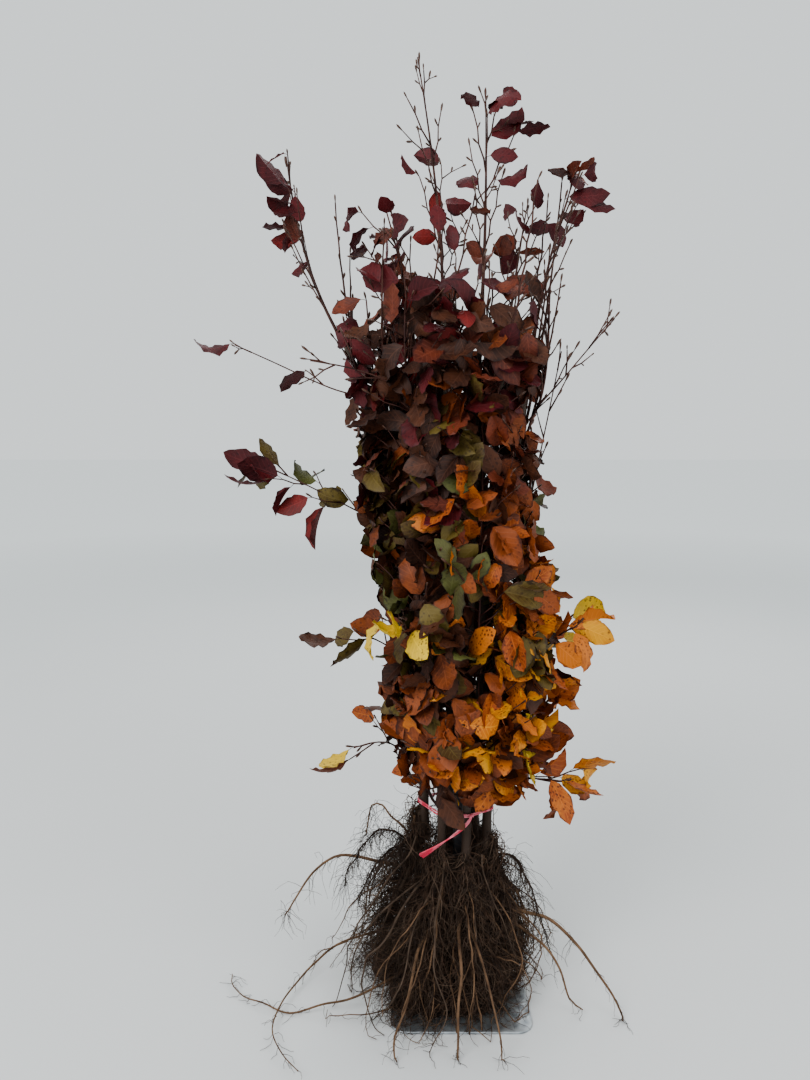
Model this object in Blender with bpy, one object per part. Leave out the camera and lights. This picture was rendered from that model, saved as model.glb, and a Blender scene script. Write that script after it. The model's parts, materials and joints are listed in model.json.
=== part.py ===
"""Copper beech whips, bare-rooted, tied into one clump with twine and stood on a flat plate with a post.

Metres, +Z up. The origin is the centre of the plate's underside, and -Y is the side the clump is seen from.
Each sapling has a stem, a root system below its collar, a leader above its shoulder, and four side shoots.
"""

import math
import random
from collections import namedtuple

import bmesh
import bpy
from mathutils import Vector
from mathutils.bvhtree import BVHTree

# Stand
PLATE_WIDTH = 0.23
PLATE_DEPTH = 0.30
PLATE_THICKNESS = 0.004
PLATE_CORNER = 0.026
POST_SIDE = 0.016
POST_TOP = 0.40

# Clearances: touching pieces keep SEAT_GAP, and leaves and twigs keep CLEARANCE from every other piece
SEAT_GAP = 0.0003
CLEARANCE = 0.0006
GROUND_CLEARANCE = 0.0025
PLATE_MARGIN = 0.012

# One sapling. Azimuths are in degrees from +X, and reaches are distances from the clump's axis.
Sapling = namedtuple("Sapling", "name side foot collar girth shoulder bend tip")
SAPLINGS = (
    Sapling("left", 165, 0.062, 0.250, 0.0085, (171, 0.205, 1.115), 3.6, (174, 0.283, 1.390)),
    Sapling("front_left", 225, 0.043, 0.205, 0.0075, (222, 0.100, 1.060), 1.9, (213, 0.148, 1.295)),
    Sapling("front_right", 285, 0.040, 0.200, 0.0080, (293, 0.068, 1.160), 1.5, (303, 0.054, 1.465)),
    Sapling("right", 345, 0.050, 0.215, 0.0085, (347, 0.115, 1.100), 2.0, (351, 0.176, 1.355)),
    Sapling("rear_right", 45, 0.045, 0.210, 0.0080, (42, 0.110, 1.110), 2.0, (44, 0.165, 1.345)),
    Sapling("rear_left", 105, 0.045, 0.205, 0.0080, (117, 0.062, 1.170), 1.5, (157, 0.078, 1.540)),
)
WEDGE_HALF_ANGLE = 30
STEM_RINGS = 11
STEM_SIDES = 8
FLARE = 1.3
FLARE_HEIGHT = 0.035
SHOULDER_SHARE = 0.42
STEM_KINK = 0.0015
VERTICAL_START = 0.006

# Side shoots: tiers up the axis, whose bands rise outwards as the shoots do
TIER_NAMES = ("low", "middle", "high", "upper")
TIER_EDGES = (0.285, 0.480, 0.690, 0.890, 1.090)
BAND_SLOPE = 0.55
CELL_SLACK = 0.035

# The crown's outline: how far its leaves reach, round a line that leans from CROWN_FOOT to CROWN_HEAD
CROWN_REACH = (0.165, 0.155, 0.152, 0.162)
CROWN_FOOT = Vector((0.040, 0.000, 0.400))
CROWN_HEAD = Vector((-0.030, 0.000, 0.950))

SHOOT_RISE_START = 0.030
SHOOT_SPREAD = 0.040
SHOOT_LEAST_REACH = 0.100
SHOOT_TOP_SHARE = 0.8
SHOOT_BOW = 0.030
SHOOT_RINGS = 4
STUB = 0.008
SHOOT_RADIUS = (0.0026, 0.0018)
LONG_SHOOT_RADIUS = (0.0014, 0.0010)
TWIG_RADIUS = (0.0011, 0.0008)
TWIG_LENGTH = (0.045, 0.075)
TWIG_SHARES = (0.12, 0.96)
TWIG_RISE = 55
TWIG_STRAY = 12
TWIG_OUTWARD = (-0.5, 0.8)
GOLDEN_SHARE = 0.618
FIRST_TWIG_TURN = 1.5
LEAVES_PER_TWIG = 3
LEAVES_PER_MASS = {
    "left": 12,
    "front_left": 15,
    "front_right": 15,
    "right": 12,
    "rear_right": 12,
    "rear_left": 12,
}
MOST_TWIGS = 16

# Long shoots that stand out past the crown: (sapling, tier) to the tip's azimuth, reach and height,
# the droop half-way, the number of twigs and the leaves on each
LongShoot = namedtuple("LongShoot", "azimuth reach height droop twigs leaves")
LONG_SHOOTS = {
    ("left", 0): LongShoot(178, 0.180, 0.415, -0.01, 2, 1),
    ("left", 1): LongShoot(176, 0.185, 0.615, 0.02, 2, 2),
    ("left", 2): LongShoot(178, 0.320, 0.895, 0.02, 3, 2),
    ("left", 3): LongShoot(176, 0.372, 1.095, 0.03, 1, 1),
    ("front_left", 3): LongShoot(200, 0.250, 1.060, 0.00, 3, 0),
    ("right", 0): LongShoot(347, 0.175, 0.375, 0.02, 3, 2),
    ("right", 1): LongShoot(346, 0.190, 0.640, 0.02, 3, 2),
    ("right", 3): LongShoot(355, 0.240, 1.130, 0.02, 4, 0),
    ("rear_right", 1): LongShoot(55, 0.190, 0.600, 0.02, 2, 1),
    ("rear_right", 3): LongShoot(60, 0.235, 1.100, 0.02, 4, 0),
    ("rear_left", 2): LongShoot(110, 0.210, 0.880, 0.02, 4, 1),
}
LONG_SHOOT_LEAD = 1.4
LONG_SHOOT_RINGS = 5
LONG_TWIGS_FROM = 0.55
LONG_TWIG_RISE = 40
LONG_TWIG_LENGTH = (0.03, 0.06)
LONG_LEAF_LENGTH = (0.050, 0.070)

# Leaves: their length, their width as a share of it, and their thickness. An eight-faced ball has its
# corners on the axes. LEAF_OUTLINE puts each at a share of the length, half the width and half the thickness
LEAF_LENGTH = (0.084, 0.104)
LEAF_WIDTH_SHARE = 0.70
LEAF_THICKNESS = 0.0018
LEAF_OUTLINE = {
    (-1, 0, 0): (0.00, 0.00, 1),
    (1, 0, 0): (1.00, 0.00, -1),
    (0, 1, 0): (0.70, 0.78, 1),
    (0, -1, 0): (0.30, -1.00, -1),
    (0, 0, 1): (0.70, -0.78, 1),
    (0, 0, -1): (0.30, 1.00, -1),
}
LEAF_ANGLE = 52
LEAF_DROOP = 0.6
LEAF_OUTWARD = 0.2
LEAF_FACE_UP = 0.4
LEAF_FIRST_SHARE = 0.7
LEAF_LAST_SHARE = 0.96

# A leaf that touches something is turned more and more: how often, how far at first and how much further
LEAF_TRIES = 16
LEAF_STRAY = 0.3
LEAF_STRAY_STEP = 0.1
LEAF_WIDER = 1.5

# Leaders: the ends of the stems above the shoulders. Their twigs are bare, but for those between two shares
Leader = namedtuple("Leader", "twigs leafy_from leafy_to leaves")
LEADERS = {
    "left": Leader(7, 0.25, 0.85, 7),
    "front_left": Leader(6, 0.35, 1.00, 7),
    "front_right": Leader(7, 0.45, 1.00, 6),
    "right": Leader(7, 0.55, 1.00, 7),
    "rear_right": Leader(6, 0.00, 0.80, 6),
    "rear_left": Leader(8, 0.00, 0.50, 6),
}
LEADER_RINGS = 6
LEADER_FOOT_SHARE = 0.92
LEADER_LEAD = 0.45
LEADER_TWIGS_FROM = 0.05
LEADER_TWIG_LENGTH = (0.13, 0.05)
LEADER_TWIG_RISE = 27
LEADER_HEADROOM = 0.012
LEADER_LEAF_LENGTH = (0.052, 0.074)

# Roots: each sapling has a taproot and a fluted mat of fine roots round it, which reaches out to MAT_REACH
TAPROOT_SHARES = (0.45, 0.80, 1.00)
TAPROOT_LEAN = 0.012
TAPROOT_END_HEIGHT = 0.020
TAPROOT_END_SHARE = 0.3
ROOT_SIDES = 6
MAT_REACH = {
    "left": 0.165,
    "front_left": 0.175,
    "front_right": 0.130,
    "right": 0.112,
    "rear_right": 0.125,
    "rear_left": 0.140,
}
# Rows down the mat: shares of the height, of MAT_REACH beyond the foot and of the inner reach, and half the
# angle. The rows from MAT_FLUTED_FROM on have valleys, and their ridges vary within MAT_VARIES
MAT_ROWS = (
    (1.00, 0.00, 1.000, 6),
    (0.74, 0.18, 0.500, 15),
    (0.46, 0.42, 0.125, 24),
    (0.20, 0.78, 0.000, 27),
    (0.00, 1.00, 0.000, 27),
)
MAT_FLUTED_FROM = 2
MAT_VARIES = (0.94, 1.04)
MAT_TOP_DROP = 0.022
MAT_TOP_HALF = 0.009
MAT_INNER = 0.016
MAT_COLUMNS = 7
MAT_VALLEY = 0.80

# Fibres that stand out of the mat: their fan and stray in degrees, the shares of the taproot they leave
# from, how far they go past the mat, how high they end, how much less a high one reaches, and their bow
FIBRES = 10
FIBRE_RADIUS = (0.0020, 0.0008)
FIBRE_FAN = 25
FIBRE_STRAY = 3
FIBRE_FROM = (0.15, 0.75)
FIBRE_PAST_MAT = (0.010, 0.055)
FIBRE_END_HEIGHT = (0.004, 0.094)
FIBRE_SLOPE = 0.45
FIBRE_LEAD = 0.05
FIBRE_BOW = 0.02

# Long roots: azimuth and its sweep, reach at the start and end, height at the start, arch, end and radius
LongRoot = namedtuple("LongRoot", "azimuth sweep near far start arch end radius")
LONG_ROOTS = {
    "left": (
        LongRoot(172, 8, 0.070, 0.300, 0.190, 0.060, 0.118, 0.0030),
        LongRoot(163, 61, 0.150, 0.352, 0.075, -0.020, 0.0115, 0.0021),
        LongRoot(160, -12, 0.070, 0.190, 0.200, 0.080, 0.215, 0.0022),
    ),
    "front_left": (
        LongRoot(214, -33, 0.125, 0.392, 0.050, -0.020, 0.0030, 0.0020),
        LongRoot(236, 8, 0.040, 0.235, 0.150, 0.030, 0.0040, 0.0032),
    ),
    "front_right": (
        LongRoot(268, -2, 0.040, 0.212, 0.160, 0.045, 0.0040, 0.0034),
        LongRoot(282, 4, 0.040, 0.225, 0.150, 0.050, 0.0040, 0.0027),
    ),
    "right": (
        LongRoot(346, -12, 0.045, 0.290, 0.170, 0.035, 0.0040, 0.0034),
        LongRoot(338, -6, 0.050, 0.222, 0.150, 0.030, 0.0040, 0.0028),
    ),
    "rear_right": (LongRoot(40, 18, 0.045, 0.240, 0.160, 0.030, 0.0040, 0.0030),),
    "rear_left": (LongRoot(110, 12, 0.045, 0.240, 0.150, 0.030, 0.0040, 0.0030),),
}
LONG_ROOT_RINGS = 7
LONG_ROOT_SIDES = 4
LONG_ROOT_TAPER = (1.4, 0.45)
LONG_ROOT_FROM = (0.1, 0.9)
LONG_ROOT_FALL = 1.25
LONG_ROOT_FALL_POWER = 0.8
LONG_ROOT_REACH_POWER = 0.9

# Twine
TWINE_HEIGHT = 0.318
TWINE_RADIUS = 0.0015
TWINE_SLACK = 1.15
TWINE_SIDES = 5
STEM_OUTLINE_POINTS = 10
KNOT_AZIMUTH = 303
KNOT_RADIUS = 0.0042
KNOT_STANDS_OUT = 0.6
TAIL_LEAD = Vector((0.0, -0.014, -0.012))
TAIL_DROP = Vector((-0.083, -0.012, -0.064))
TAIL_RADIUS = 0.0036
TAIL_RINGS = 5

# Finishes: colour, roughness and metallic value
FINISHES = {
    "bark": ((0.125, 0.098, 0.078), 0.8, 0.0),
    "root_bark": ((0.155, 0.092, 0.058), 0.9, 0.0),
    "leaf_gold": ((0.60, 0.27, 0.04), 0.6, 0.0),
    "leaf_rust": ((0.42, 0.12, 0.03), 0.6, 0.0),
    "leaf_olive": ((0.22, 0.17, 0.045), 0.6, 0.0),
    "leaf_copper": ((0.20, 0.055, 0.03), 0.6, 0.0),
    "leaf_purple": ((0.13, 0.022, 0.026), 0.6, 0.0),
    "twine": ((0.78, 0.12, 0.17), 0.5, 0.0),
    "plate_steel": ((0.55, 0.57, 0.58), 0.35, 0.9),
    "post_paint": ((0.03, 0.03, 0.035), 0.5, 0.2),
}
TIER_TINTS = {
    "left": ("leaf_rust", "leaf_olive", "leaf_olive", "leaf_copper"),
    "front_left": ("leaf_rust", "leaf_olive", "leaf_copper", "leaf_copper"),
    "front_right": ("leaf_gold", "leaf_rust", "leaf_copper", "leaf_copper"),
    "right": ("leaf_gold", "leaf_gold", "leaf_rust", "leaf_copper"),
    "rear_right": ("leaf_gold", "leaf_rust", "leaf_rust", "leaf_copper"),
    "rear_left": ("leaf_rust", "leaf_olive", "leaf_copper", "leaf_purple"),
}

UP = Vector((0, 0, 1))


def clear_scene():
    for obj in list(bpy.data.objects):
        bpy.data.objects.remove(obj)


def new_collection(name):
    collection = bpy.data.collections.new(name)
    bpy.context.scene.collection.children.link(collection)
    return collection


def finish(name):
    """The material of that name, made the first time it is asked for."""
    found = bpy.data.materials.get(name)
    if found:
        return found
    colour, roughness, metallic = FINISHES[name]
    made = bpy.data.materials.new(name)
    made.use_nodes = True
    shader = made.node_tree.nodes["Principled BSDF"]
    shader.inputs["Base Color"].default_value = (*colour, 1)
    shader.inputs["Roughness"].default_value = roughness
    shader.inputs["Metallic"].default_value = metallic
    return made


def polar(azimuth, reach, height):
    angle = math.radians(azimuth)
    return Vector((reach * math.cos(angle), reach * math.sin(angle), height))


def mix(ends, t):
    return ends[0] + (ends[1] - ends[0]) * t


def even_radii(ends, points):
    return [mix(ends, k / (len(points) - 1)) for k in range(len(points))]


class Occupied:
    """Every finished piece's surface, so that a new leaf, twig or root can keep clear of them all."""

    def __init__(self):
        self.pieces = []

    def add(self, points, faces, owner=""):
        low = Vector(map(min, zip(*points)))
        high = Vector(map(max, zip(*points)))
        self.pieces.append((owner, low, high, BVHTree.FromPolygons(points, faces)))

    def add_object(self, obj):
        self.add(*shape_of(obj.data), obj.name)

    def clashes(self, points, faces, owner=None):
        """Whether the shape touches a piece that isn't the owner's own."""
        low = Vector(map(min, zip(*points)))
        high = Vector(map(max, zip(*points)))
        tree = None
        for other_owner, other_low, other_high, other in self.pieces:
            apart = any(low[i] > other_high[i] or high[i] < other_low[i] for i in range(3))
            if apart or other_owner == owner:
                continue
            tree = tree or BVHTree.FromPolygons(points, faces)
            if tree.overlap(other):
                return True
        return False


def profile(sides, helpers):
    """A closed outline of radius 1, which a tube takes as its section."""
    name = f"section_{sides}"
    found = bpy.data.objects.get(name)
    if found:
        return found
    curve = bpy.data.curves.new(name, "CURVE")
    spline = curve.splines.new("POLY")
    spline.points.add(sides - 1)
    for k, point in enumerate(spline.points):
        angle = -2 * math.pi * k / sides
        point.co = (math.cos(angle), math.sin(angle), 0, 1)
    spline.use_cyclic_u = True
    obj = bpy.data.objects.new(name, curve)
    obj.hide_render = True
    obj.display_type = "WIRE"
    helpers.objects.link(obj)
    return obj


def tube_mesh(points, radii, sides, helpers, cyclic=False):
    """The mesh of a curve through the points, with its own radius at each one and filled ends."""
    curve = bpy.data.curves.new("tube", "CURVE")
    curve.dimensions = "3D"
    curve.bevel_mode = "OBJECT"
    curve.bevel_object = profile(sides, helpers)
    curve.use_fill_caps = not cyclic
    spline = curve.splines.new("POLY")
    spline.points.add(len(points) - 1)
    spline.use_cyclic_u = cyclic
    for place, co, radius in zip(spline.points, points, radii):
        place.co = (*co, 1)
        place.radius = radius
    guide = bpy.data.objects.new("tube", curve)
    helpers.objects.link(guide)
    graph = bpy.context.evaluated_depsgraph_get()
    mesh = bpy.data.meshes.new_from_object(guide.evaluated_get(graph))
    bpy.data.objects.remove(guide)
    bpy.data.curves.remove(curve)
    shape = bmesh.new()
    shape.from_mesh(mesh)
    bmesh.ops.remove_doubles(shape, verts=shape.verts, dist=1e-6)
    bmesh.ops.recalc_face_normals(shape, faces=shape.faces)
    if shape.calc_volume(signed=True) < 0:
        bmesh.ops.reverse_faces(shape, faces=shape.faces)
    shape.to_mesh(mesh)
    shape.free()
    return mesh


def leaf_mesh(base, along, face, length, extra=0.0):
    """A leaf: an eight-faced ball, flattened so that its six corners zigzag round a leaf's outline.

    The extra is added all round, for a leaf that stands for the room that the leaf needs.
    """
    along = along.normalized()
    across = face.cross(along).normalized()
    normal = along.cross(across)
    shape = bmesh.new()
    bmesh.ops.create_uvsphere(shape, u_segments=4, v_segments=2, radius=1)
    for vert in shape.verts:
        reach, side, lift = LEAF_OUTLINE[tuple(round(value) for value in vert.co)]
        side *= length * LEAF_WIDTH_SHARE / 2 + extra
        ahead = reach * (length + 2 * extra) - extra
        vert.co = base + along * ahead + across * side + normal * (lift * (LEAF_THICKNESS / 2 + extra))
    mesh = bpy.data.meshes.new("leaf")
    shape.to_mesh(mesh)
    shape.free()
    return mesh


def shape_of(mesh):
    return [v.co.copy() for v in mesh.vertices], [tuple(p.vertices) for p in mesh.polygons]


def place(name, mesh, collection, slot):
    obj = bpy.data.objects.new(name, mesh)
    mesh.materials.clear()
    mesh.materials.append(finish(slot))
    collection.objects.link(obj)
    return obj


def keep_largest_body(mesh):
    """Drops every separate shell but the largest, so that sealed hollows are filled and loose scraps go."""
    shape = bmesh.new()
    shape.from_mesh(mesh)
    left = set(shape.verts)
    shells = []
    while left:
        shell, edge = set(), [left.pop()]
        while edge:
            vert = edge.pop()
            shell.add(vert)
            near = {link.other_vert(vert) for link in vert.link_edges} & left
            left -= near
            edge.extend(near)
        shells.append(shell)
    shells.sort(key=len)
    scraps = [vert for shell in shells[:-1] for vert in shell]
    bmesh.ops.delete(shape, geom=scraps, context="VERTS")
    shape.to_mesh(mesh)
    shape.free()


def joined(name, meshes, plant, slot):
    """One solid from the first mesh and all the others, by a Boolean union on a collection."""
    parts = new_collection(name + "_parts")
    for mesh in meshes[1:]:
        parts.objects.link(bpy.data.objects.new(mesh.name, mesh))
    body = place(name, meshes[0], plant, slot)
    union = body.modifiers.new("union", "BOOLEAN")
    union.operation = "UNION"
    union.operand_type = "COLLECTION"
    union.collection = parts
    union.solver = "MANIFOLD"
    bpy.context.view_layer.objects.active = body
    bpy.ops.object.modifier_apply(modifier=union.name)
    for obj in list(parts.objects):
        bpy.data.objects.remove(obj)
    bpy.data.collections.remove(parts)
    keep_largest_body(body.data)
    body.data.materials.clear()
    body.data.materials.append(finish(slot))
    return body


def stem_path(sapling):
    """Points and radii of a stem, from its flat foot at the collar to its shoulder."""
    rng = random.Random(sapling.name)
    foot = polar(sapling.side, sapling.foot, sapling.collar)
    shoulder = polar(*sapling.shoulder)
    points = [foot, foot + UP * VERTICAL_START]
    radii = [sapling.girth * FLARE, sapling.girth * FLARE]
    for ring in range(1, STEM_RINGS + 1):
        t = ring / STEM_RINGS
        point = foot.lerp(shoulder, t**sapling.bend)
        point.z = foot.z + (shoulder.z - foot.z) * t
        if ring < STEM_RINGS:
            point.x += rng.uniform(-STEM_KINK, STEM_KINK)
            point.y += rng.uniform(-STEM_KINK, STEM_KINK)
        flare = max(0.0, 1 - (point.z - foot.z) / FLARE_HEIGHT / 2)
        points.append(point)
        radii.append(sapling.girth * (1 + (FLARE - 1) * flare) * (1 - (1 - SHOULDER_SHARE) * t))
    return points, radii


def along_stem(path, height):
    """The place on a stem at that height, the stem's direction there and its radius."""
    points, radii = path
    for k in range(1, len(points)):
        if points[k].z >= height:
            t = (height - points[k - 1].z) / (points[k].z - points[k - 1].z)
            direction = (points[k] - points[k - 1]).normalized()
            return points[k - 1].lerp(points[k], t), direction, mix((radii[k - 1], radii[k]), t)
    raise ValueError("the height is above the stem")


def sweep(start, lead, end, rings, sag=0.0):
    """Points on a curve that leaves start along lead and comes to end, with a sag in the middle."""
    control = start + lead
    points = [start]
    for k in range(1, rings + 1):
        t = k / rings
        point = start * (1 - t) ** 2 + control * (2 * t * (1 - t)) + end * t**2
        points.append(point - UP * (sag * math.sin(math.pi * t)))
    return points


def crown_centre(height):
    """The crown's own axis at that height."""
    t = (height - CROWN_FOOT.z) / (CROWN_HEAD.z - CROWN_FOOT.z)
    return CROWN_FOOT.lerp(CROWN_HEAD, min(1.0, max(0.0, t)))


def shoot_path(sapling, tier, path):
    """The main twig of a side shoot: it leaves the stem squarely, 0.3 mm clear, and rises outwards."""
    low, high = TIER_EDGES[tier], TIER_EDGES[tier + 1]
    height = low + SHOOT_RISE_START
    for _ in range(3):
        reach = along_stem(path, height)[0].xy.length
        height = max(low + SHOOT_RISE_START + BAND_SLOPE * reach, sapling.collar + FLARE_HEIGHT * 2)
        height = min(height, path[0][-1].z - SHOOT_RISE_START)
    centre, direction, radius = along_stem(path, height)
    outward = polar(sapling.side, 1, 0)
    outward = (outward - direction * outward.dot(direction)).normalized()
    start = centre + outward * (radius + SEAT_GAP)
    reach = max(centre.xy.length + SHOOT_SPREAD, SHOOT_LEAST_REACH)
    end = polar(sapling.side, reach, high + BAND_SLOPE * reach * SHOOT_TOP_SHARE)
    return [start, *sweep(start + outward * STUB, outward * SHOOT_BOW + UP * SHOOT_BOW, end, SHOOT_RINGS)]


def long_shoot_path(main, long_shoot):
    """A long shoot leaves the main twig half-way and sweeps out to its tip."""
    tip = polar(long_shoot.azimuth, long_shoot.reach, long_shoot.height)
    return sweep(main[2], (main[3] - main[2]) * LONG_SHOOT_LEAD, tip, LONG_SHOOT_RINGS, long_shoot.droop)


def twig_starts(path, shares, lengths, rng, rise):
    """Twigs on alternate sides of a shoot: the start, direction, length and share along it of each."""
    found = []
    total = len(path) - 1
    for k, share in enumerate(shares):
        piece = min(int(total * share), total - 1)
        start = path[piece].lerp(path[piece + 1], total * share - piece)
        run = (path[piece + 1] - path[piece]).normalized()
        outward = Vector((start.x, start.y, 0)).normalized()
        side = run.cross(outward).normalized() * (1 if k % 2 else -1)
        angle = math.radians(rise + rng.uniform(-TWIG_STRAY, TWIG_STRAY))
        side = (side + outward * rng.uniform(*TWIG_OUTWARD)).normalized()
        direction = (run * math.cos(angle) + side * math.sin(angle)).normalized()
        found.append((start, direction, mix(lengths, share), share))
    return found


def even_shares(count, first, rng):
    return [first + (1 - first) * (k + rng.random() * 0.5) / count for k in range(count)]


def in_space(sapling, tier):
    """A test that a leaf keeps to the shoot's own wedge and slanting band, and inside the crown's outline."""
    outward = polar(sapling.side, 1, 0)
    floor = TIER_EDGES[tier] - CELL_SLACK
    ceiling = TIER_EDGES[tier + 1] + CELL_SLACK

    def allowed(middle, end):
        height = middle.z - BAND_SLOPE * max(0.0, middle.dot(outward))
        if not floor < height < ceiling:
            return False
        if (end - crown_centre(end.z)).xy.length > CROWN_REACH[tier]:
            return False
        turn = abs((math.degrees(math.atan2(middle.y, middle.x)) - sapling.side + 180) % 360 - 180)
        return middle.xy.length * math.radians(turn - WEDGE_HALF_ANGLE) < CELL_SLACK

    return allowed


def anywhere(middle, end):
    return True


class Growth:
    """One mass as it grows: its pieces, what it must keep clear of, and where its leaves may go."""

    def __init__(self, name, occupied, helpers):
        self.name = name
        self.rng = random.Random(name)
        self.occupied = occupied
        self.helpers = helpers
        self.own = Occupied()
        self.pieces = []
        self.main = None
        self.line = None

    def add_limb(self, points, radii, sides):
        """A limb of the mass, which other masses keep clear of from now on."""
        self.pieces.append(tube_mesh(points, radii, sides, self.helpers))
        self.occupied.add(*shape_of(self.pieces[-1]), self.name)

    def is_clear(self, points, radii, sides):
        """Whether a tube would keep CLEARANCE from everything but the mass's own limbs."""
        widened = tube_mesh(points, [radius + CLEARANCE for radius in radii], sides, self.helpers)
        shape = shape_of(widened)
        bpy.data.meshes.remove(widened)
        return not (self.occupied.clashes(*shape, self.name) or self.own.clashes(*shape))

    def leaf(self, base, run, side, lengths, allowed):
        """A leaf at base, turned until it touches nothing but its own twig, or left out."""
        rng = self.rng
        outward = Vector((base.x, base.y, 0)).normalized()
        length = mix(lengths, rng.random())
        for attempt in range(LEAF_TRIES):
            spread = LEAF_STRAY + attempt * LEAF_STRAY_STEP
            angle = math.radians(LEAF_ANGLE) * (1 if attempt < LEAF_TRIES / 2 else LEAF_WIDER)
            stray = Vector([rng.uniform(-spread, spread) for _ in range(3)])
            along = run * math.cos(angle) + side * math.sin(angle) - UP * LEAF_DROOP + stray
            along = (along + outward * LEAF_OUTWARD).normalized()
            tilt = Vector([rng.uniform(-spread, spread) for _ in range(3)])
            face = outward + UP * LEAF_FACE_UP + tilt
            end = base + along * length
            if end.z < GROUND_CLEARANCE or not allowed((base + end) / 2, end):
                continue
            room = shape_of(leaf_mesh(base, along, face, length, CLEARANCE))
            if not (self.occupied.clashes(*room, self.name) or self.own.clashes(*room)):
                self.pieces.append(leaf_mesh(base, along, face, length))
                self.own.add(*shape_of(self.pieces[-1]))
                return

    def leaves(self, start, end, count, lengths, allowed):
        """Leaves on alternate sides of a twig that isn't in own yet, and one at its end. Returns how many."""
        before = len(self.pieces)
        run = (end - start).normalized()
        side = run.cross(Vector((start.x, start.y, 0)).normalized()).normalized()
        for k in range(count):
            last = k == count - 1
            base = start.lerp(end, LEAF_LAST_SHARE if last else (k + LEAF_FIRST_SHARE) / count)
            turn = Vector() if last else side * (1 if k % 2 else -1)
            self.leaf(base, run, turn, lengths, allowed)
        return len(self.pieces) - before

    def twig(self, start, direction, length, leaves, lengths, allowed):
        """A twig with its leaves, unless it would touch anything already grown or has no room for a leaf."""
        end = start + direction * length
        if not self.is_clear([start, end], TWIG_RADIUS, 3):
            return 0
        grown = self.leaves(start, end, leaves, lengths, allowed)
        if grown or not leaves:
            self.pieces.append(tube_mesh([start, end], TWIG_RADIUS, 3, self.helpers))
            self.own.add(*shape_of(self.pieces[-1]))
        return grown


def start_side_shoot(sapling, tier, path, helpers, occupied):
    """A side shoot's limbs: its main twig, and its long shoot if it has one."""
    growth = Growth(f"foliage_{TIER_NAMES[tier]}_{sapling.name}", occupied, helpers)
    growth.main = shoot_path(sapling, tier, path)
    growth.add_limb(growth.main, even_radii(SHOOT_RADIUS, growth.main), 4)
    if (sapling.name, tier) in LONG_SHOOTS:
        growth.line = long_shoot_path(growth.main, LONG_SHOOTS[sapling.name, tier])
        growth.add_limb(growth.line, even_radii(LONG_SHOOT_RADIUS, growth.line), 3)
    return growth


def leaf_side_shoot(growth, sapling, tier, plant):
    """A side shoot's smaller twigs and leaves, joined to its limbs as one solid."""
    rng = growth.rng
    shares = [mix(TWIG_SHARES, (k + FIRST_TWIG_TURN) * GOLDEN_SHARE % 1.0) for k in range(MOST_TWIGS)]
    main_twigs = twig_starts(growth.main[1:], shares, TWIG_LENGTH, rng, TWIG_RISE)
    if growth.line:
        long_shoot = LONG_SHOOTS[sapling.name, tier]
        shares = even_shares(long_shoot.twigs, LONG_TWIGS_FROM, rng)
        for *twig, _ in twig_starts(growth.line, shares, LONG_TWIG_LENGTH, rng, LONG_TWIG_RISE):
            growth.twig(*twig, long_shoot.leaves, LONG_LEAF_LENGTH, anywhere)
        if long_shoot.leaves:
            growth.leaves(*growth.line[-2:], long_shoot.leaves, LONG_LEAF_LENGTH, anywhere)
    allowed = in_space(sapling, tier)
    grown = growth.leaves(*growth.main[-2:], 2, LEAF_LENGTH, allowed)
    for *twig, _ in main_twigs:
        room = LEAVES_PER_MASS[sapling.name] - grown
        if room > 0:
            grown += growth.twig(*twig, min(LEAVES_PER_TWIG, room), LEAF_LENGTH, allowed)
    return joined(growth.name, growth.pieces, plant, TIER_TINTS[sapling.name][tier])


def start_leader(sapling, path, helpers, occupied):
    """A leader's own line: a thin whip from the stem's shoulder to the plant's tip."""
    growth = Growth(f"leader_{sapling.name}", occupied, helpers)
    points, radii = path
    run = (points[-1] - points[-2]).normalized()
    start = points[-1] + run * SEAT_GAP
    tip = polar(*sapling.tip)
    stub = start + run * VERTICAL_START
    growth.line = [start, *sweep(stub, run * (tip - stub).length * LEADER_LEAD, tip, LEADER_RINGS)]
    growth.add_limb(growth.line, even_radii((radii[-1] * LEADER_FOOT_SHARE, TWIG_RADIUS[1]), growth.line), 5)
    return growth


def leaf_leader(growth, sapling, plant):
    """A leader's rising twigs, some of them bare, and its few leaves, joined to it as one solid."""
    leader = LEADERS[sapling.name]
    shares = even_shares(leader.twigs, LEADER_TWIGS_FROM, growth.rng)
    starts = twig_starts(growth.line[1:], shares, LEADER_TWIG_LENGTH, growth.rng, LEADER_TWIG_RISE)
    leafy = [start for start in starts if leader.leafy_from <= start[3] <= leader.leafy_to]
    left = leader.leaves
    if leader.leafy_to == 1.0:
        growth.leaves(*growth.line[-2:], 2, LEADER_LEAF_LENGTH, anywhere)
        left -= 2
    for told in starts:
        start, direction, length, _ = told
        count = min(left, math.ceil(leader.leaves / len(leafy))) if told in leafy else 0
        left -= count
        headroom = (growth.line[-1].z - LEADER_HEADROOM - start.z) / direction.z
        if headroom > LEADER_HEADROOM:
            growth.twig(start, direction, min(length, headroom), count, LEADER_LEAF_LENGTH, anywhere)
    return joined(growth.name, growth.pieces, plant, "leaf_purple")


def over_plate(point):
    """Whether the point is over the plate, or so near its edge that a root can't reach the ground yet."""
    return abs(point.x) < PLATE_WIDTH / 2 + PLATE_MARGIN and abs(point.y) < PLATE_DEPTH / 2 + PLATE_MARGIN


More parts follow.
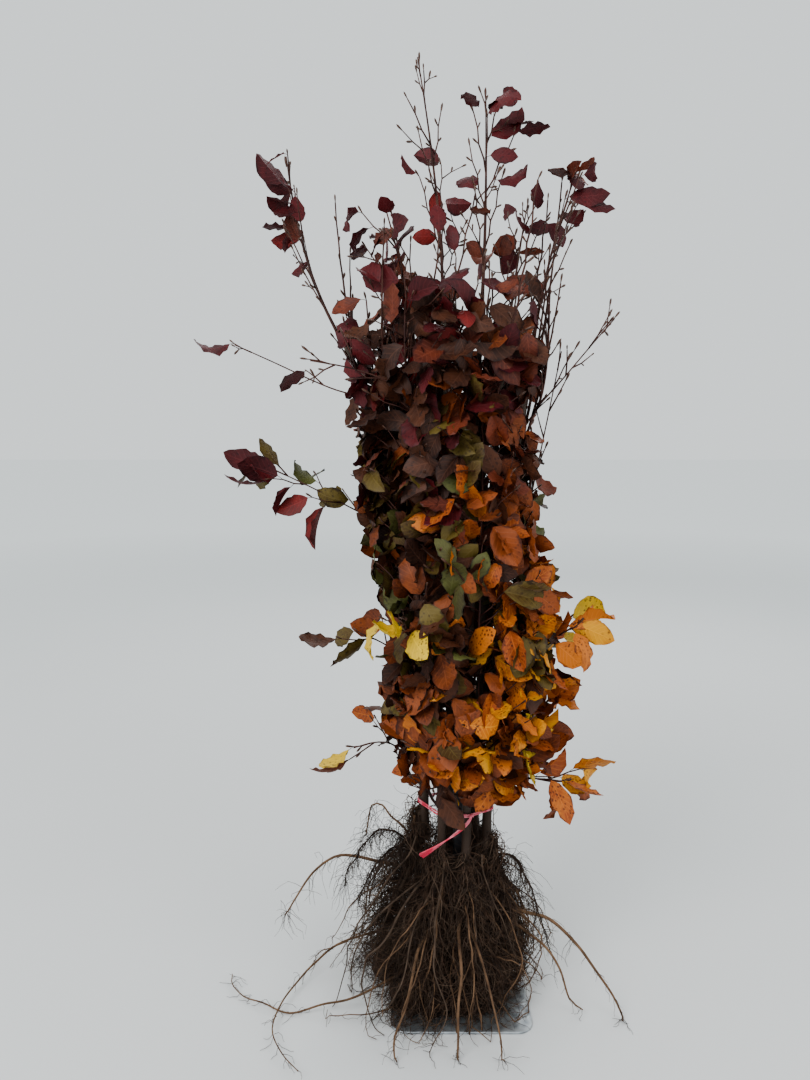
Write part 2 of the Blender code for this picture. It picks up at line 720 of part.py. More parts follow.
def long_root_path(root, start):
    """A long root: it leaves start, arches or sags, and comes down to its tip at an even sweep."""
    points = [start]
    for k in range(1, LONG_ROOT_RINGS + 1):
        t = k / LONG_ROOT_RINGS
        fall = min(1.0, t * LONG_ROOT_FALL)
        height = mix((root.start, root.end), fall**LONG_ROOT_FALL_POWER)
        height += root.arch * math.sin(math.pi * fall)
        reach = mix((root.near, root.far), math.sin(math.pi / 2 * t) ** LONG_ROOT_REACH_POWER)
        point = polar(root.azimuth + root.sweep * t, reach, height)
        floor = root.radius + (PLATE_THICKNESS + CLEARANCE if over_plate(point) else GROUND_CLEARANCE)
        point.z = max(point.z, floor)
        points.append(point)
    return points


def mat_mesh(sapling, top, floor, rng):
    """The mat of fine roots round a taproot: a fluted fan that widens downwards and stands on the plate."""
    rows = []
    for row, (share, out, inner, half) in enumerate(MAT_ROWS):
        height = floor + (top.z - MAT_TOP_DROP - floor) * share
        ring = []
        for column in range(MAT_COLUMNS):
            turn = mix((-half, half), column / (MAT_COLUMNS - 1))
            far = mix((sapling.foot + MAT_TOP_HALF, MAT_REACH[sapling.name]), out)
            if row >= MAT_FLUTED_FROM:
                far *= (MAT_VALLEY if column % 2 else 1.0) * rng.uniform(*MAT_VARIES)
            ring.append(polar(sapling.side + turn, far, height))
        near = mix((MAT_INNER, sapling.foot - MAT_TOP_HALF), inner)
        ring.append(polar(sapling.side + half, near, height))
        ring.append(polar(sapling.side - half, near, height))
        rows.append(ring)
    shape = bmesh.new()
    grid = [[shape.verts.new(point) for point in ring] for ring in rows]
    width = len(grid[0])
    for upper, lower in zip(grid, grid[1:]):
        for k in range(width):
            j = (k + 1) % width
            shape.faces.new((upper[k], upper[j], lower[j], lower[k]))
    shape.faces.new(grid[0])
    shape.faces.new(grid[-1])
    bmesh.ops.triangulate(shape, faces=shape.faces)
    bmesh.ops.recalc_face_normals(shape, faces=shape.faces)
    if shape.calc_volume(signed=True) < 0:
        bmesh.ops.reverse_faces(shape, faces=shape.faces)
    mesh = bpy.data.meshes.new("mat")
    shape.to_mesh(mesh)
    shape.free()
    return mesh


def make_roots(sapling, plant, helpers, occupied):
    """One sapling's roots: a taproot, the mat round it, fibres that stand out of it, and the long roots."""
    growth = Growth(f"roots_{sapling.name}", occupied, helpers)
    rng, pieces = growth.rng, growth.pieces
    top = polar(sapling.side, sapling.foot, sapling.collar - SEAT_GAP)
    floor = PLATE_THICKNESS + SEAT_GAP
    tap = [top, top - UP * VERTICAL_START]
    for share in TAPROOT_SHARES:
        height = mix((top.z, floor + TAPROOT_END_HEIGHT), share)
        tap.append(polar(sapling.side, sapling.foot + TAPROOT_LEAN * share, height))
    girth = sapling.girth * FLARE
    tap_radii = even_radii((girth, girth * TAPROOT_END_SHARE), tap)
    pieces.extend((tube_mesh(tap, tap_radii, ROOT_SIDES, helpers), mat_mesh(sapling, top, floor, rng)))

    for root in LONG_ROOTS[sapling.name]:
        share = min(LONG_ROOT_FROM[1], max(LONG_ROOT_FROM[0], 1 - root.start / top.z))
        points = long_root_path(root, tap[1].lerp(tap[-1], share))
        radii = even_radii([root.radius * taper for taper in LONG_ROOT_TAPER], points)
        pieces.append(tube_mesh(points, radii, LONG_ROOT_SIDES, helpers))

    reach = MAT_REACH[sapling.name]
    for k in range(FIBRES):
        fan = mix((-FIBRE_FAN, FIBRE_FAN), (k * GOLDEN_SHARE) % 1.0)
        azimuth = sapling.side + fan + rng.uniform(-FIBRE_STRAY, FIBRE_STRAY)
        start = Vector((*top.xy, mix((top.z, floor), rng.uniform(*FIBRE_FROM))))
        end_height = floor + mix(FIBRE_END_HEIGHT, rng.random() ** 2)
        past = mix(FIBRE_PAST_MAT, rng.random())
        end = polar(azimuth, reach + past - end_height * FIBRE_SLOPE, end_height)
        fibre = sweep(start, (end - start).normalized() * FIBRE_LEAD + UP * FIBRE_BOW, end, 2)
        radii = even_radii(FIBRE_RADIUS, fibre)
        if growth.is_clear(fibre, radii, 3):
            pieces.append(tube_mesh(fibre, radii, 3, helpers))
    return joined(growth.name, pieces, plant, "root_bark")


def hull_2d(points):
    """The outline round some points, anticlockwise."""
    points = sorted(points)

    def half(order):
        line = []
        for p in order:
            while len(line) > 1:
                (ax, ay), (bx, by) = line[-2:]
                if (bx - ax) * (p[1] - ay) - (by - ay) * (p[0] - ax) > 0:
                    break
                line.pop()
            line.append(p)
        return line[:-1]

    return half(points) + half(reversed(points))


def make_twine(paths, plant, helpers):
    """Twine pulled round all the stems, with a knot at the front and one loose end."""
    ring = []
    for path in paths.values():
        centre, _, radius = along_stem(path, TWINE_HEIGHT)
        clear = (radius + SEAT_GAP + TWINE_RADIUS * TWINE_SLACK) / math.cos(math.pi / STEM_OUTLINE_POINTS)
        for k in range(STEM_OUTLINE_POINTS):
            angle = 2 * math.pi * k / STEM_OUTLINE_POINTS
            ring.append((centre.x + clear * math.cos(angle), centre.y + clear * math.sin(angle)))
    outline = [Vector((x, y, TWINE_HEIGHT)) for x, y in hull_2d(ring)]
    band = tube_mesh(outline, [TWINE_RADIUS] * len(outline), TWINE_SIDES, helpers, cyclic=True)
    ahead = polar(KNOT_AZIMUTH, 1, 0)
    knot_at = max(outline, key=lambda point: point.dot(ahead)) + ahead * KNOT_RADIUS * KNOT_STANDS_OUT
    knot = bmesh.new()
    bmesh.ops.create_icosphere(knot, subdivisions=1, radius=KNOT_RADIUS)
    bmesh.ops.translate(knot, verts=knot.verts, vec=knot_at)
    knot_mesh = bpy.data.meshes.new("knot")
    knot.to_mesh(knot_mesh)
    knot.free()
    tail = sweep(knot_at, TAIL_LEAD, knot_at + TAIL_DROP, TAIL_RINGS)
    tail_radii = even_radii((TWINE_RADIUS, TAIL_RADIUS), tail)
    return joined("twine", [band, knot_mesh, tube_mesh(tail, tail_radii, 4, helpers)], plant, "twine")


def make_plate(plant):
    """The flat plate, with round corners."""
    shape = bmesh.new()
    bmesh.ops.create_cube(shape, size=1)
    bmesh.ops.scale(shape, vec=(PLATE_WIDTH, PLATE_DEPTH, PLATE_THICKNESS), verts=shape.verts)
    bmesh.ops.translate(shape, vec=(0, 0, PLATE_THICKNESS / 2), verts=shape.verts)
    upright = [e for e in shape.edges if abs(e.verts[0].co.z - e.verts[1].co.z) > PLATE_THICKNESS / 2]
    bmesh.ops.bevel(shape, geom=upright, offset=PLATE_CORNER, segments=6, profile=0.5, affect="EDGES")
    mesh = bpy.data.meshes.new("stand_plate")
    shape.to_mesh(mesh)
    shape.free()
    return place("stand_plate", mesh, plant, "plate_steel")


def make_post(plant):
    """The square post that the stems are tied to."""
    foot = PLATE_THICKNESS + SEAT_GAP
    shape = bmesh.new()
    bmesh.ops.create_cube(shape, size=1)
    bmesh.ops.scale(shape, vec=(POST_SIDE, POST_SIDE, POST_TOP - foot), verts=shape.verts)
    bmesh.ops.translate(shape, vec=(0, 0, (POST_TOP + foot) / 2), verts=shape.verts)
    mesh = bpy.data.meshes.new("stand_post")
    shape.to_mesh(mesh)
    shape.free()
    return place("stand_post", mesh, plant, "post_paint")


def main():
    clear_scene()
    plant = new_collection("copper_beech_whips")
    helpers = new_collection("helpers")
    helpers.hide_render = True
    occupied = Occupied()
    paths = {sapling.name: stem_path(sapling) for sapling in SAPLINGS}

    occupied.add_object(make_plate(plant))
    occupied.add_object(make_post(plant))
    for sapling in SAPLINGS:
        stem = tube_mesh(*paths[sapling.name], STEM_SIDES, helpers)
        occupied.add_object(place(f"stem_{sapling.name}", stem, plant, "bark"))
    occupied.add_object(make_twine(paths, plant, helpers))
    for sapling in SAPLINGS:
        occupied.add_object(make_roots(sapling, plant, helpers, occupied))
    grown = []
    for sapling in SAPLINGS:
        grown.append((leaf_leader, start_leader(sapling, paths[sapling.name], helpers, occupied), sapling))
    for tier in range(len(TIER_NAMES)):
        for sapling in SAPLINGS:
            growth = start_side_shoot(sapling, tier, paths[sapling.name], helpers, occupied)
            grown.append((leaf_side_shoot, growth, sapling, tier))
    for add_leaves, *told in grown:
        occupied.add_object(add_leaves(*told, plant))


main()
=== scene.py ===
"""A clump of copper beech whips, bare-rooted, tied with twine and stood on a flat plate with a post.

Metres, +Z up. The clump is seen from -Y. Each sapling has a stem with its roots below, a thin leader above
its shoulder, and four side shoots whose twigs carry the leaves.
"""

import json
import random
from collections import namedtuple
from contextlib import contextmanager
from math import atan2, cos, exp, hypot, pi, radians, sin

import bmesh
import bpy
import numpy as np
from mathutils import Matrix, Vector, noise

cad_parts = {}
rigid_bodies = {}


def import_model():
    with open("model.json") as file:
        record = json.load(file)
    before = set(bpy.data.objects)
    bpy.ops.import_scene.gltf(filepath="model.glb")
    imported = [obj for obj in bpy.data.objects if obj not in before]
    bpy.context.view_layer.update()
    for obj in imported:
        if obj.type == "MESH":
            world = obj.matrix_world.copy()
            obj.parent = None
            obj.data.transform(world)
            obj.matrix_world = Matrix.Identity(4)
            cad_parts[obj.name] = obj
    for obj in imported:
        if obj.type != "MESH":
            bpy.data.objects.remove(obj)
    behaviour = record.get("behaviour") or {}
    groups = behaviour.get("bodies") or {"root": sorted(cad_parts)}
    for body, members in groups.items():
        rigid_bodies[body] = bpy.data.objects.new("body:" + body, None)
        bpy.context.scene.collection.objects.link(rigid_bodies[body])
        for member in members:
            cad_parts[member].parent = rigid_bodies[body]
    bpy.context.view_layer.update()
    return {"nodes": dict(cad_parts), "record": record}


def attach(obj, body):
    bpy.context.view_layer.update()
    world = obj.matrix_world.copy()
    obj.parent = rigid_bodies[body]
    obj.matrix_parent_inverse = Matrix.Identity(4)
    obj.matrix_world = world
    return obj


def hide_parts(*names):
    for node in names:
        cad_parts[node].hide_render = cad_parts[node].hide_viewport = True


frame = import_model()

UP = Vector((0, 0, 1))
FRONT = Vector((0, -1, 0))
GOLDEN_SHARE = 0.618

# How near a row of points has to be for a test to pick it, on a model 1 m long
NEAR = 0.01

# Stand
PLATE_WIDTH = 0.23
PLATE_DEPTH = 0.30
PLATE_THICKNESS = 0.004
PLATE_CORNER = 0.026
PLATE_RIM = 0.0011
POST_SIDE = 0.016
POST_TOP = 0.40
POST_EDGE = 0.0018
POST_CAP_EDGE = 0.0012
POST_CAP_DEPTH = 0.0008

# One sapling. Azimuths are in degrees from +X, and reaches are distances from the clump's axis. The shoulder
# and the tip are each an azimuth, a reach and a height
Sapling = namedtuple("Sapling", "name side foot collar girth shoulder bend tip")
SAPLINGS = (
    Sapling("left", 165, 0.062, 0.250, 0.0085, (171, 0.205, 1.115), 3.6, (174, 0.283, 1.390)),
    Sapling("front_left", 225, 0.043, 0.205, 0.0075, (222, 0.100, 1.060), 1.9, (213, 0.148, 1.295)),
    Sapling("front_right", 285, 0.040, 0.200, 0.0080, (293, 0.068, 1.160), 1.5, (303, 0.054, 1.465)),
    Sapling("right", 345, 0.050, 0.215, 0.0085, (347, 0.115, 1.100), 2.0, (351, 0.176, 1.355)),
    Sapling("rear_right", 45, 0.045, 0.210, 0.0080, (42, 0.110, 1.110), 2.0, (44, 0.165, 1.345)),
    Sapling("rear_left", 105, 0.045, 0.205, 0.0080, (117, 0.062, 1.170), 1.5, (157, 0.078, 1.540)),
)
SEAT_GAP = 0.0003
STEM_RINGS = 11
STEM_SIDES = 14
STEM_SPACING = 0.007
STEM_KINK = 0.0015
SHOULDER_SHARE = 0.42
VERTICAL_START = 0.006
FLARE = 1.3
FLARE_TOP = 0.07
FLUTES = 4
FLUTE_DEPTH = 0.14
FLUTES_TOP = 0.09

# The swellings of a stem, where its shoots leave it and where others have died, and its bark's relief
OLD_KNOTS = 9
OLD_KNOTS_FROM = 0.05
KNOT_HEIGHT = 0.006
KNOT_SWELL = 0.13
RELIEF_GRAIN = 0.011
RELIEF_DEPTH = 0.0014
RELIEF_MIDDLE = 0.55

# Side shoots
TIER_NAMES = ("low", "middle", "high", "upper")
TIER_EDGES = (0.285, 0.480, 0.690, 0.890, 1.090)
BAND_SLOPE = 0.55
SHOOT_RISE_START = 0.030
SHOOT_SPREAD = 0.040
SHOOT_LEAST_REACH = 0.100
SHOOT_TOP_SHARE = 0.8
SHOOT_BOW = 0.030
SHOOT_RINGS = 4
SHOOT_RADIUS = (0.0026, 0.0018)
SHOOT_FOOT_RADIUS = 0.0036
SHOOT_SUNK = 0.004
SHOOT_SPACING = 0.012
STUB = 0.008

# The crown's outline as seen from the front: heights with the reach to the left, to the right and in depth
CROWN_OUTLINE = (
    (0.26, -0.040, 0.050, 0.07),
    (0.32, -0.080, 0.085, 0.10),
    (0.36, -0.105, 0.150, 0.12),
    (0.43, -0.125, 0.215, 0.14),
    (0.50, -0.140, 0.225, 0.15),
    (0.57, -0.130, 0.215, 0.15),
    (0.64, -0.135, 0.180, 0.15),
    (0.71, -0.150, 0.165, 0.15),
    (0.78, -0.165, 0.140, 0.15),
    (0.84, -0.180, 0.115, 0.15),
    (0.91, -0.185, 0.115, 0.15),
    (0.97, -0.175, 0.125, 0.15),
    (1.04, -0.180, 0.130, 0.15),
    (1.10, -0.190, 0.145, 0.15),
    (1.16, -0.180, 0.150, 0.14),
    (1.24, -0.170, 0.150, 0.13),
    (9.99, -0.170, 0.150, 0.13),
)
CROWN_RAGGED = 0.34
CROWN_RAGS_ROUND = 1.8
CROWN_RAGS_UP = 13
CROWN_THINS = (0.93, 1.13)
CROWN_THINNEST = 0.10
CROWN_FOOT = Vector((0.040, 0.000, 0.400))
CROWN_HEAD = Vector((-0.030, 0.000, 0.950))

# A shoot's leafy twigs. One that would leave the crown is cut, step by step, down to the shortest
TWIG_RADIUS = (0.0014, 0.0009)
TWIG_LENGTH = (0.06075, 0.10125)
TWIG_SHARES = (0.12, 0.96)
TWIG_RISE = 55
TWIG_STRAY = 12
TWIG_OUTWARD = (-0.5, 0.8)
TWIG_MARGIN = 0.025
TWIG_CUT = 0.8
TWIG_SHORTEST = 0.03
FIRST_TWIG_TURN = 1.5
MOST_TWIGS = 23
END_TWIG_BACK = 0.02
END_TWIG_LENGTH = 0.0675

# Long shoots that stand out past the crown, and the tints of their leaves
LongShoot = namedtuple("LongShoot", "azimuth reach height droop twigs leaves tints")
LONG_SHOOTS = {
    ("left", 0): LongShoot(178, 0.180, 0.415, -0.01, 2, 1, "orange rust yellow"),
    ("left", 1): LongShoot(176, 0.168, 0.615, 0.02, 2, 3, "rust umber olive"),
    ("left", 2): LongShoot(178, 0.315, 0.895, 0.02, 5, 3, "olive red moss purple olive purple"),
    ("left", 3): LongShoot(176, 0.372, 1.095, 0.03, 1, 1, "purple"),
    ("front_left", 1): LongShoot(232, 0.150, 0.655, 0.00, 1, 2, "yellow yellow"),
    ("front_left", 3): LongShoot(200, 0.250, 1.060, 0.00, 3, 0, "purple"),
    ("right", 0): LongShoot(347, 0.175, 0.375, 0.02, 3, 3, "orange rust gold"),
    ("right", 1): LongShoot(346, 0.190, 0.640, 0.02, 3, 3, "orange yellow orange gold"),
    ("right", 2): LongShoot(352, 0.158, 1.080, 0.00, 4, 0, "copper"),
    ("right", 3): LongShoot(355, 0.240, 1.130, 0.02, 4, 0, "purple"),
    ("rear_right", 1): LongShoot(55, 0.190, 0.600, 0.02, 2, 1, "rust gold"),
    ("rear_right", 3): LongShoot(60, 0.235, 1.100, 0.02, 4, 0, "purple"),
    ("rear_left", 2): LongShoot(110, 0.192, 0.880, 0.02, 4, 1, "copper olive"),
}
LONG_SHOOT_LEAD = 1.4
LONG_SHOOT_RINGS = 5
LONG_SHOOT_RADIUS = (0.0016, 0.0010)
LONG_TWIGS_FROM = 0.50
LONG_TWIG_RISE = 40
LONG_TWIG_LENGTH = (0.03, 0.06)
LONG_END_TWIG = 0.03

# Leaders: the ends of the stems above the shoulders. Their twigs are bare, but for those between two shares.
# The last figures are the leaves at the tip and the share of a leader's leaves that show their backs
Leader = namedtuple("Leader", "twigs leafy_from leafy_to tip_leaves backs")
LEADERS = {
    "left": Leader(7, 0.30, 0.85, 3, 0.10),
    "front_left": Leader(6, 0.45, 1.00, 2, 0.1),
    "front_right": Leader(7, 0.50, 0.85, 2, 0.3),
    "right": Leader(7, 0.60, 1.00, 4, 0.85),
    "rear_right": Leader(6, 0.20, 0.70, 2, 0.2),
    "rear_left": Leader(8, 0.10, 0.45, 0, 0.1),
}
LEADER_RINGS = 6
LEADER_FOOT_SHARE = 0.92
LEADER_LEAD = 0.45
LEADER_TWIGS_FROM = 0.05
LEADER_TWIG_LENGTH = (0.13, 0.05)
LEADER_TWIG_RISE = 27
LEADER_HEADROOM = 0.012
LEADER_TIP = 0.10
LEADER_BUD_DROP = 0.016
LEADER_TINT_RISE = 0.1

# Whips: upright twigs beside the leaders, fewer and barer at the right
WHIPS = {"left": 6, "right": 4}
WHIP_LEAVES = {"left": (1, 1, 2), "right": (0, 0, 1)}
WHIP_START = (0.84, 1.02)
WHIP_TOP = (1.10, 1.32)
WHIP_TURN = 75
WHIP_LEAN = (0.12, 0.46)
WHIP_BOW = 0.14
WHIP_RADIUS = (0.0026, 0.0011)
WHIP_TINT_SHARE = 0.8

# Twigs go from node to node in a zigzag, with a leaf or a bud at each node and finer twigs at some
NODE_SPACING = 0.022
NODE_OUTWARD = (-0.3, 0.7)
ZIGZAG = 0.0018
TWIG_CURVE = 0.08
FINE_TWIG_RADIUS = (0.0011, 0.0007)
FINE_TWIG_LENGTH = (0.022, 0.05)
FINE_TWIG_ANGLE = (32, 48)
FINE_TWIG_SHARE = 0.5
FINE_TWIG_MARGIN = 0.02
BUD_LENGTH = (0.011, 0.018)
BUD_ANGLE = (28, 42)
BUD_FACE_UP = 0.1
TIP_BUD_ASIDE = 0.3
BUD_GIRTH = 0.045
BUD_RINGS = ((0.22, 2.1), (0.5, 2.4), (0.78, 2.2))
STALK_LENGTH = (0.006, 0.011)
STALK_RADII = (0.00055, 0.00045, 0.00045)
STALK_WAY = (0.4, 0.6, 0.5)
STALK_MIDDLE = 0.6
STALK_SUNK = 0.002

# Where a leaf grows. Each try to turn it inwards strays further than the one before
LEAF_LENGTH = (0.046, 0.074)
SMALL_LEAF_LENGTH = (0.038, 0.060)
LARGE_LEAF_LENGTH = (0.054, 0.076)
LEAF_WIDTH = (0.86, 1.04)
LEAF_ANGLE = 52
LEAF_DROOP = 0.6
LEAF_OUTWARD = 0.2
LEAF_FACE_UP = 0.4
LEAF_STRAY = 0.38
LEAF_STRAY_STEP = 0.12
LEAF_TILT = 0.75
LEAF_TRIES = 6
LEAF_LOWEST = 0.295
LEAF_LOWEST_SLOPE = 0.1
TIP_LEAF_ASIDE = 0.15
TURNED_FACE = Vector((0.1, 0.75, -0.6))
TURNED_TILT = 0.5
TURNED_SHARES = (0.06, 0.06, 0.10, 0.10)
OTHER_TINT_SHARE = 0.3

# A leaf's own shape, 1 m long
LEAF_ROWS = 9
LEAF_COLUMNS = 4
LEAF_HALF_WIDTHS = (0.0, 0.165, 0.255, 0.300, 0.315, 0.305, 0.270, 0.208, 0.120, 0.0)
LEAF_TEETH = (0.965, 1.035)
LEAF_RIM = 0.8
LEAF_INNER = 0.3
LEAF_RIM_FORWARD = 0.02
LEAF_INNER_FORWARD = 0.008
LEAF_RIPPLE = 2.2
LEAF_THICKNESS = 0.010

# The leaf models. fold raises a leaf's rims and wave ripples them, curl and twist are in degrees, and lean
# moves its tip aside
LeafShape = namedtuple("LeafShape", "name fold curl twist wave lean")
LEAF_SHAPES = (
    LeafShape("leaf_flat", 0.08, -14, 6, 0.030, 0.01),
    LeafShape("leaf_cupped", 0.30, 34, -12, 0.036, -0.03),
    LeafShape("leaf_curled", 0.14, -78, 20, 0.044, 0.04),
    LeafShape("leaf_arched", -0.12, -42, -14, 0.034, -0.02),
    LeafShape("leaf_folded", 0.62, -26, 22, 0.030, 0.03),
    LeafShape("leaf_rolled", 0.18, 68, -20, 0.042, -0.04),
    LeafShape("leaf_wavy", 0.14, 18, 14, 0.058, 0.02),
)

# The leaves' tints: the record's slot, the colour of the face, its second tone, the colour of the back and
# how strongly brown spots show
Tint = namedtuple("Tint", "slot face tone back spots")
TINTS = {
    "yellow": Tint("leaf_gold", (0.66, 0.46, 0.045), (0.56, 0.38, 0.05), (0.60, 0.44, 0.12), 0.9),
    "gold": Tint("leaf_gold", (0.62, 0.30, 0.028), (0.44, 0.135, 0.018), (0.52, 0.32, 0.09), 0.9),
    "orange": Tint("leaf_gold", (0.46, 0.145, 0.024), (0.27, 0.062, 0.014), (0.42, 0.20, 0.07), 0.9),
    "rust": Tint("leaf_rust", (0.25, 0.064, 0.017), (0.120, 0.030, 0.011), (0.27, 0.125, 0.055), 0.5),
    "umber": Tint("leaf_rust", (0.082, 0.027, 0.012), (0.034, 0.012, 0.007), (0.13, 0.065, 0.036), 0.5),
    "olive": Tint("leaf_olive", (0.120, 0.085, 0.020), (0.070, 0.038, 0.013), (0.19, 0.150, 0.065), 0.5),
    "moss": Tint("leaf_olive", (0.095, 0.098, 0.028), (0.062, 0.052, 0.018), (0.17, 0.165, 0.085), 0.5),
    "copper": Tint("leaf_copper", (0.160, 0.036, 0.016), (0.085, 0.020, 0.012), (0.23, 0.105, 0.072), 0.5),
    "purple": Tint("leaf_purple", (0.095, 0.009, 0.011), (0.055, 0.008, 0.010), (0.27, 0.225, 0.235), 0.5),
    "red": Tint("leaf_purple", (0.185, 0.014, 0.011), (0.100, 0.011, 0.010), (0.24, 0.11, 0.10), 0.5),
}
BACK_TONE = 0.75

# How often each tint falls to a spray: up to a height, at the crown's left and at its right
TintBand = namedtuple("TintBand", "top left right")
TINT_BANDS = (
    TintBand(0.42, dict(rust=6, orange=3, gold=2, umber=2), dict(gold=5, orange=5, rust=3, yellow=3)),
    TintBand(
        0.56,
        dict(rust=5, umber=4, orange=2, olive=3, gold=1),
        dict(orange=5, rust=4, gold=4, moss=2, umber=1, yellow=1),
    ),
    TintBand(0.70, dict(umber=5, olive=4, rust=3, moss=1), dict(olive=3, rust=3, orange=6, moss=2, gold=4)),
    TintBand(
        0.84,
        dict(olive=5, umber=8, rust=1, moss=1),
        dict(orange=5, rust=5, olive=3, copper=1, moss=1),
    ),
    TintBand(1.00, dict(umber=7, copper=2, olive=2, purple=2), dict(copper=4, rust=5, umber=4, olive=2)),
    TintBand(1.16, dict(copper=3, purple=4, umber=5, red=1), dict(copper=5, rust=4, purple=2, umber=4)),
    TintBand(1.28, dict(purple=5, copper=3, red=2), dict(copper=4, purple=4, rust=1, red=1)),
    TintBand(9.99, dict(purple=6, copper=1, red=1), dict(purple=6, copper=2)),
)
TINT_EDGE_BLUR = 0.05

# A sapling's mat of roots: its reach from the clump's axis, and how much it is tucked in at the ground
Mat = namedtuple("Mat", "reach tuck")
MATS = {
    "left": Mat(0.178, 0.02),
    "front_left": Mat(0.175, 0.06),
    "front_right": Mat(0.130, 0.24),
    "right": Mat(0.106, 0.38),
    "rear_right": Mat(0.115, 0.36),
    "rear_left": Mat(0.140, 0.15),
}
MAT_TOP_REACH = 0.020
MAT_SHOULDER = 2.6
MAT_TUCK_HEIGHT = 0.08
TAPROOT_LEAN = 0.012
TAPROOT_END_HEIGHT = 0.020
PLATE_MARGIN = 0.012
GROUND_CLEARANCE = 0.0025
ROOT_CLEARANCE = 0.0005

# Long roots that stand out of the mats. They sweep round by so many degrees, and reach from near to far
LongRoot = namedtuple("LongRoot", "azimuth sweep near far start arch end radius")
LONG_ROOTS = {
    "left": (
        LongRoot(172, 8, 0.070, 0.300, 0.190, 0.060, 0.118, 0.0030),
        LongRoot(163, 61, 0.150, 0.352, 0.075, -0.020, 0.0115, 0.0021),
        LongRoot(160, -12, 0.070, 0.190, 0.200, 0.080, 0.215, 0.0022),
    ),
    "front_left": (
        LongRoot(214, -33, 0.125, 0.392, 0.050, -0.020, 0.0030, 0.0020),
        LongRoot(236, 8, 0.040, 0.235, 0.150, 0.030, 0.0040, 0.0032),
    ),
    "front_right": (
        LongRoot(268, -2, 0.040, 0.212, 0.160, 0.045, 0.0040, 0.0034),
        LongRoot(282, 4, 0.040, 0.225, 0.150, 0.050, 0.0040, 0.0027),
    ),
    "right": (
        LongRoot(346, -12, 0.045, 0.290, 0.170, 0.035, 0.0040, 0.0034),
        LongRoot(338, -6, 0.050, 0.222, 0.150, 0.030, 0.0040, 0.0028),
    ),
    "rear_right": (LongRoot(40, 18, 0.045, 0.240, 0.160, 0.030, 0.0040, 0.0030),),
    "rear_left": (LongRoot(110, 12, 0.045, 0.240, 0.150, 0.030, 0.0040, 0.0030),),
}
LONG_ROOT_RINGS = 7
LONG_ROOT_TAPER = (1.008, 0.324)
LONG_ROOT_FROM = (0.1, 0.9)
LONG_ROOT_FALL = 1.25
LONG_ROOT_FALL_POWER = 0.8
LONG_ROOT_REACH_POWER = 0.9
LONG_ROOT_KINK = 0.0055
LONG_ROOT_SPACING = 0.010
LIFTED_ROOT_HEIGHT = 0.1

# Dark roots that arch out of the mass, two at the left and one at the right: start, lead and end
DARK_ROOTS = (
    ((-0.085, 0.000, 0.250), (-0.070, -0.010, 0.075), (-0.195, -0.030, 0.185)),
    ((-0.075, -0.015, 0.235), (-0.055, -0.020, 0.055), (-0.168, -0.055, 0.165)),
    ((0.065, -0.020, 0.235), (0.050, -0.010, 0.030), (0.150, -0.050, 0.080)),
)

# Roots of each kind on a sapling: how many there are, how far round it they spread, in degrees to each
# side, and the limits of their places and sizes
STOUT_ROOTS = 9
STOUT_SPREAD = 80
STOUT_STRAY = 8
STOUT_START_LIFT = (0.0, 0.050)
STOUT_REACH = (0.30, 0.85)
STOUT_END_HEIGHT = (0.004, 0.09)
STOUT_LEAD = 0.010
STOUT_LEAD_RISE = (-0.10, -0.05)
STOUT_RINGS = 9
STOUT_GIRTH_SHARE = (0.42, 0.55)
STOUT_TIP_RADIUS = 0.0009
STOUT_KINK = 0.005
HANGING_ROOTS = 4
HANGING_SPREAD = 38
HANGING_POINTS = 12
HANGING_FALL = 1.12
HANGING_WAVE = 6
HANGING_TOP_RISE = (-0.03, 0.045)
HANGING_DRIFT = 30
HANGING_TOP_REACH = 0.92
HANGING_REACH = (0.98, 1.06)
HANGING_RUN_OUT = (0.0, 0.055)
HANGING_SHORT_SIDE = 0.3
HANGING_KINK = 0.003
HANGING_REST_RADIUS = 0.0012
HANGING_RADIUS = (0.0011, 0.0025)
HANGING_TIP_RADIUS = 0.0006
HANGING_SPACING = 0.009
TRAILING_ROOTS = 9
TRAILING_SPREAD = 44
TRAILING_FROM = (0.1, 0.8)
TRAILING_OUT = 0.015
TRAILING_STEP = (0.013, 0.017)
TRAILING_RADIUS = (0.0011, 0.0018)
TRAILING_TIP_RADIUS = 0.0005
FIBRES = 480
FIBRE_SPREAD = 42
FIBRE_OUTWARD = (0.4, 1.0)
FIBRE_RISE = (-0.8, 0.45)
FIBRE_DROOP = 0.2
FIBRE_RADIUS = 0.0006
FIBRE_PILE = 0.003
FIBRE_STRAY = 9
FIBRE_STEP = (0.009, 0.018)
FIBRE_FOOT_RADIUS = (0.0006, 0.0012)
FIBRE_TIP_RADIUS = 0.0003
LOOSE_FIBRE_SHARE = 0.18
LOOSE_FIBRE_REACH = 1.22
COLLAR_FIBRES = 44
COLLAR_FIBRE_LIFT = (-0.02, 0.055)
COLLAR_FIBRE_STEP = (0.006, 0.011)
COLLAR_FIBRE_RADIUS = (0.0006, 0.0013)
DARK_ROOT_RINGS = 10
DARK_ROOT_RADIUS = (0.0024, 0.0009)
DARK_ROOT_KINK = 0.004
ROOT_SPACING = 0.008

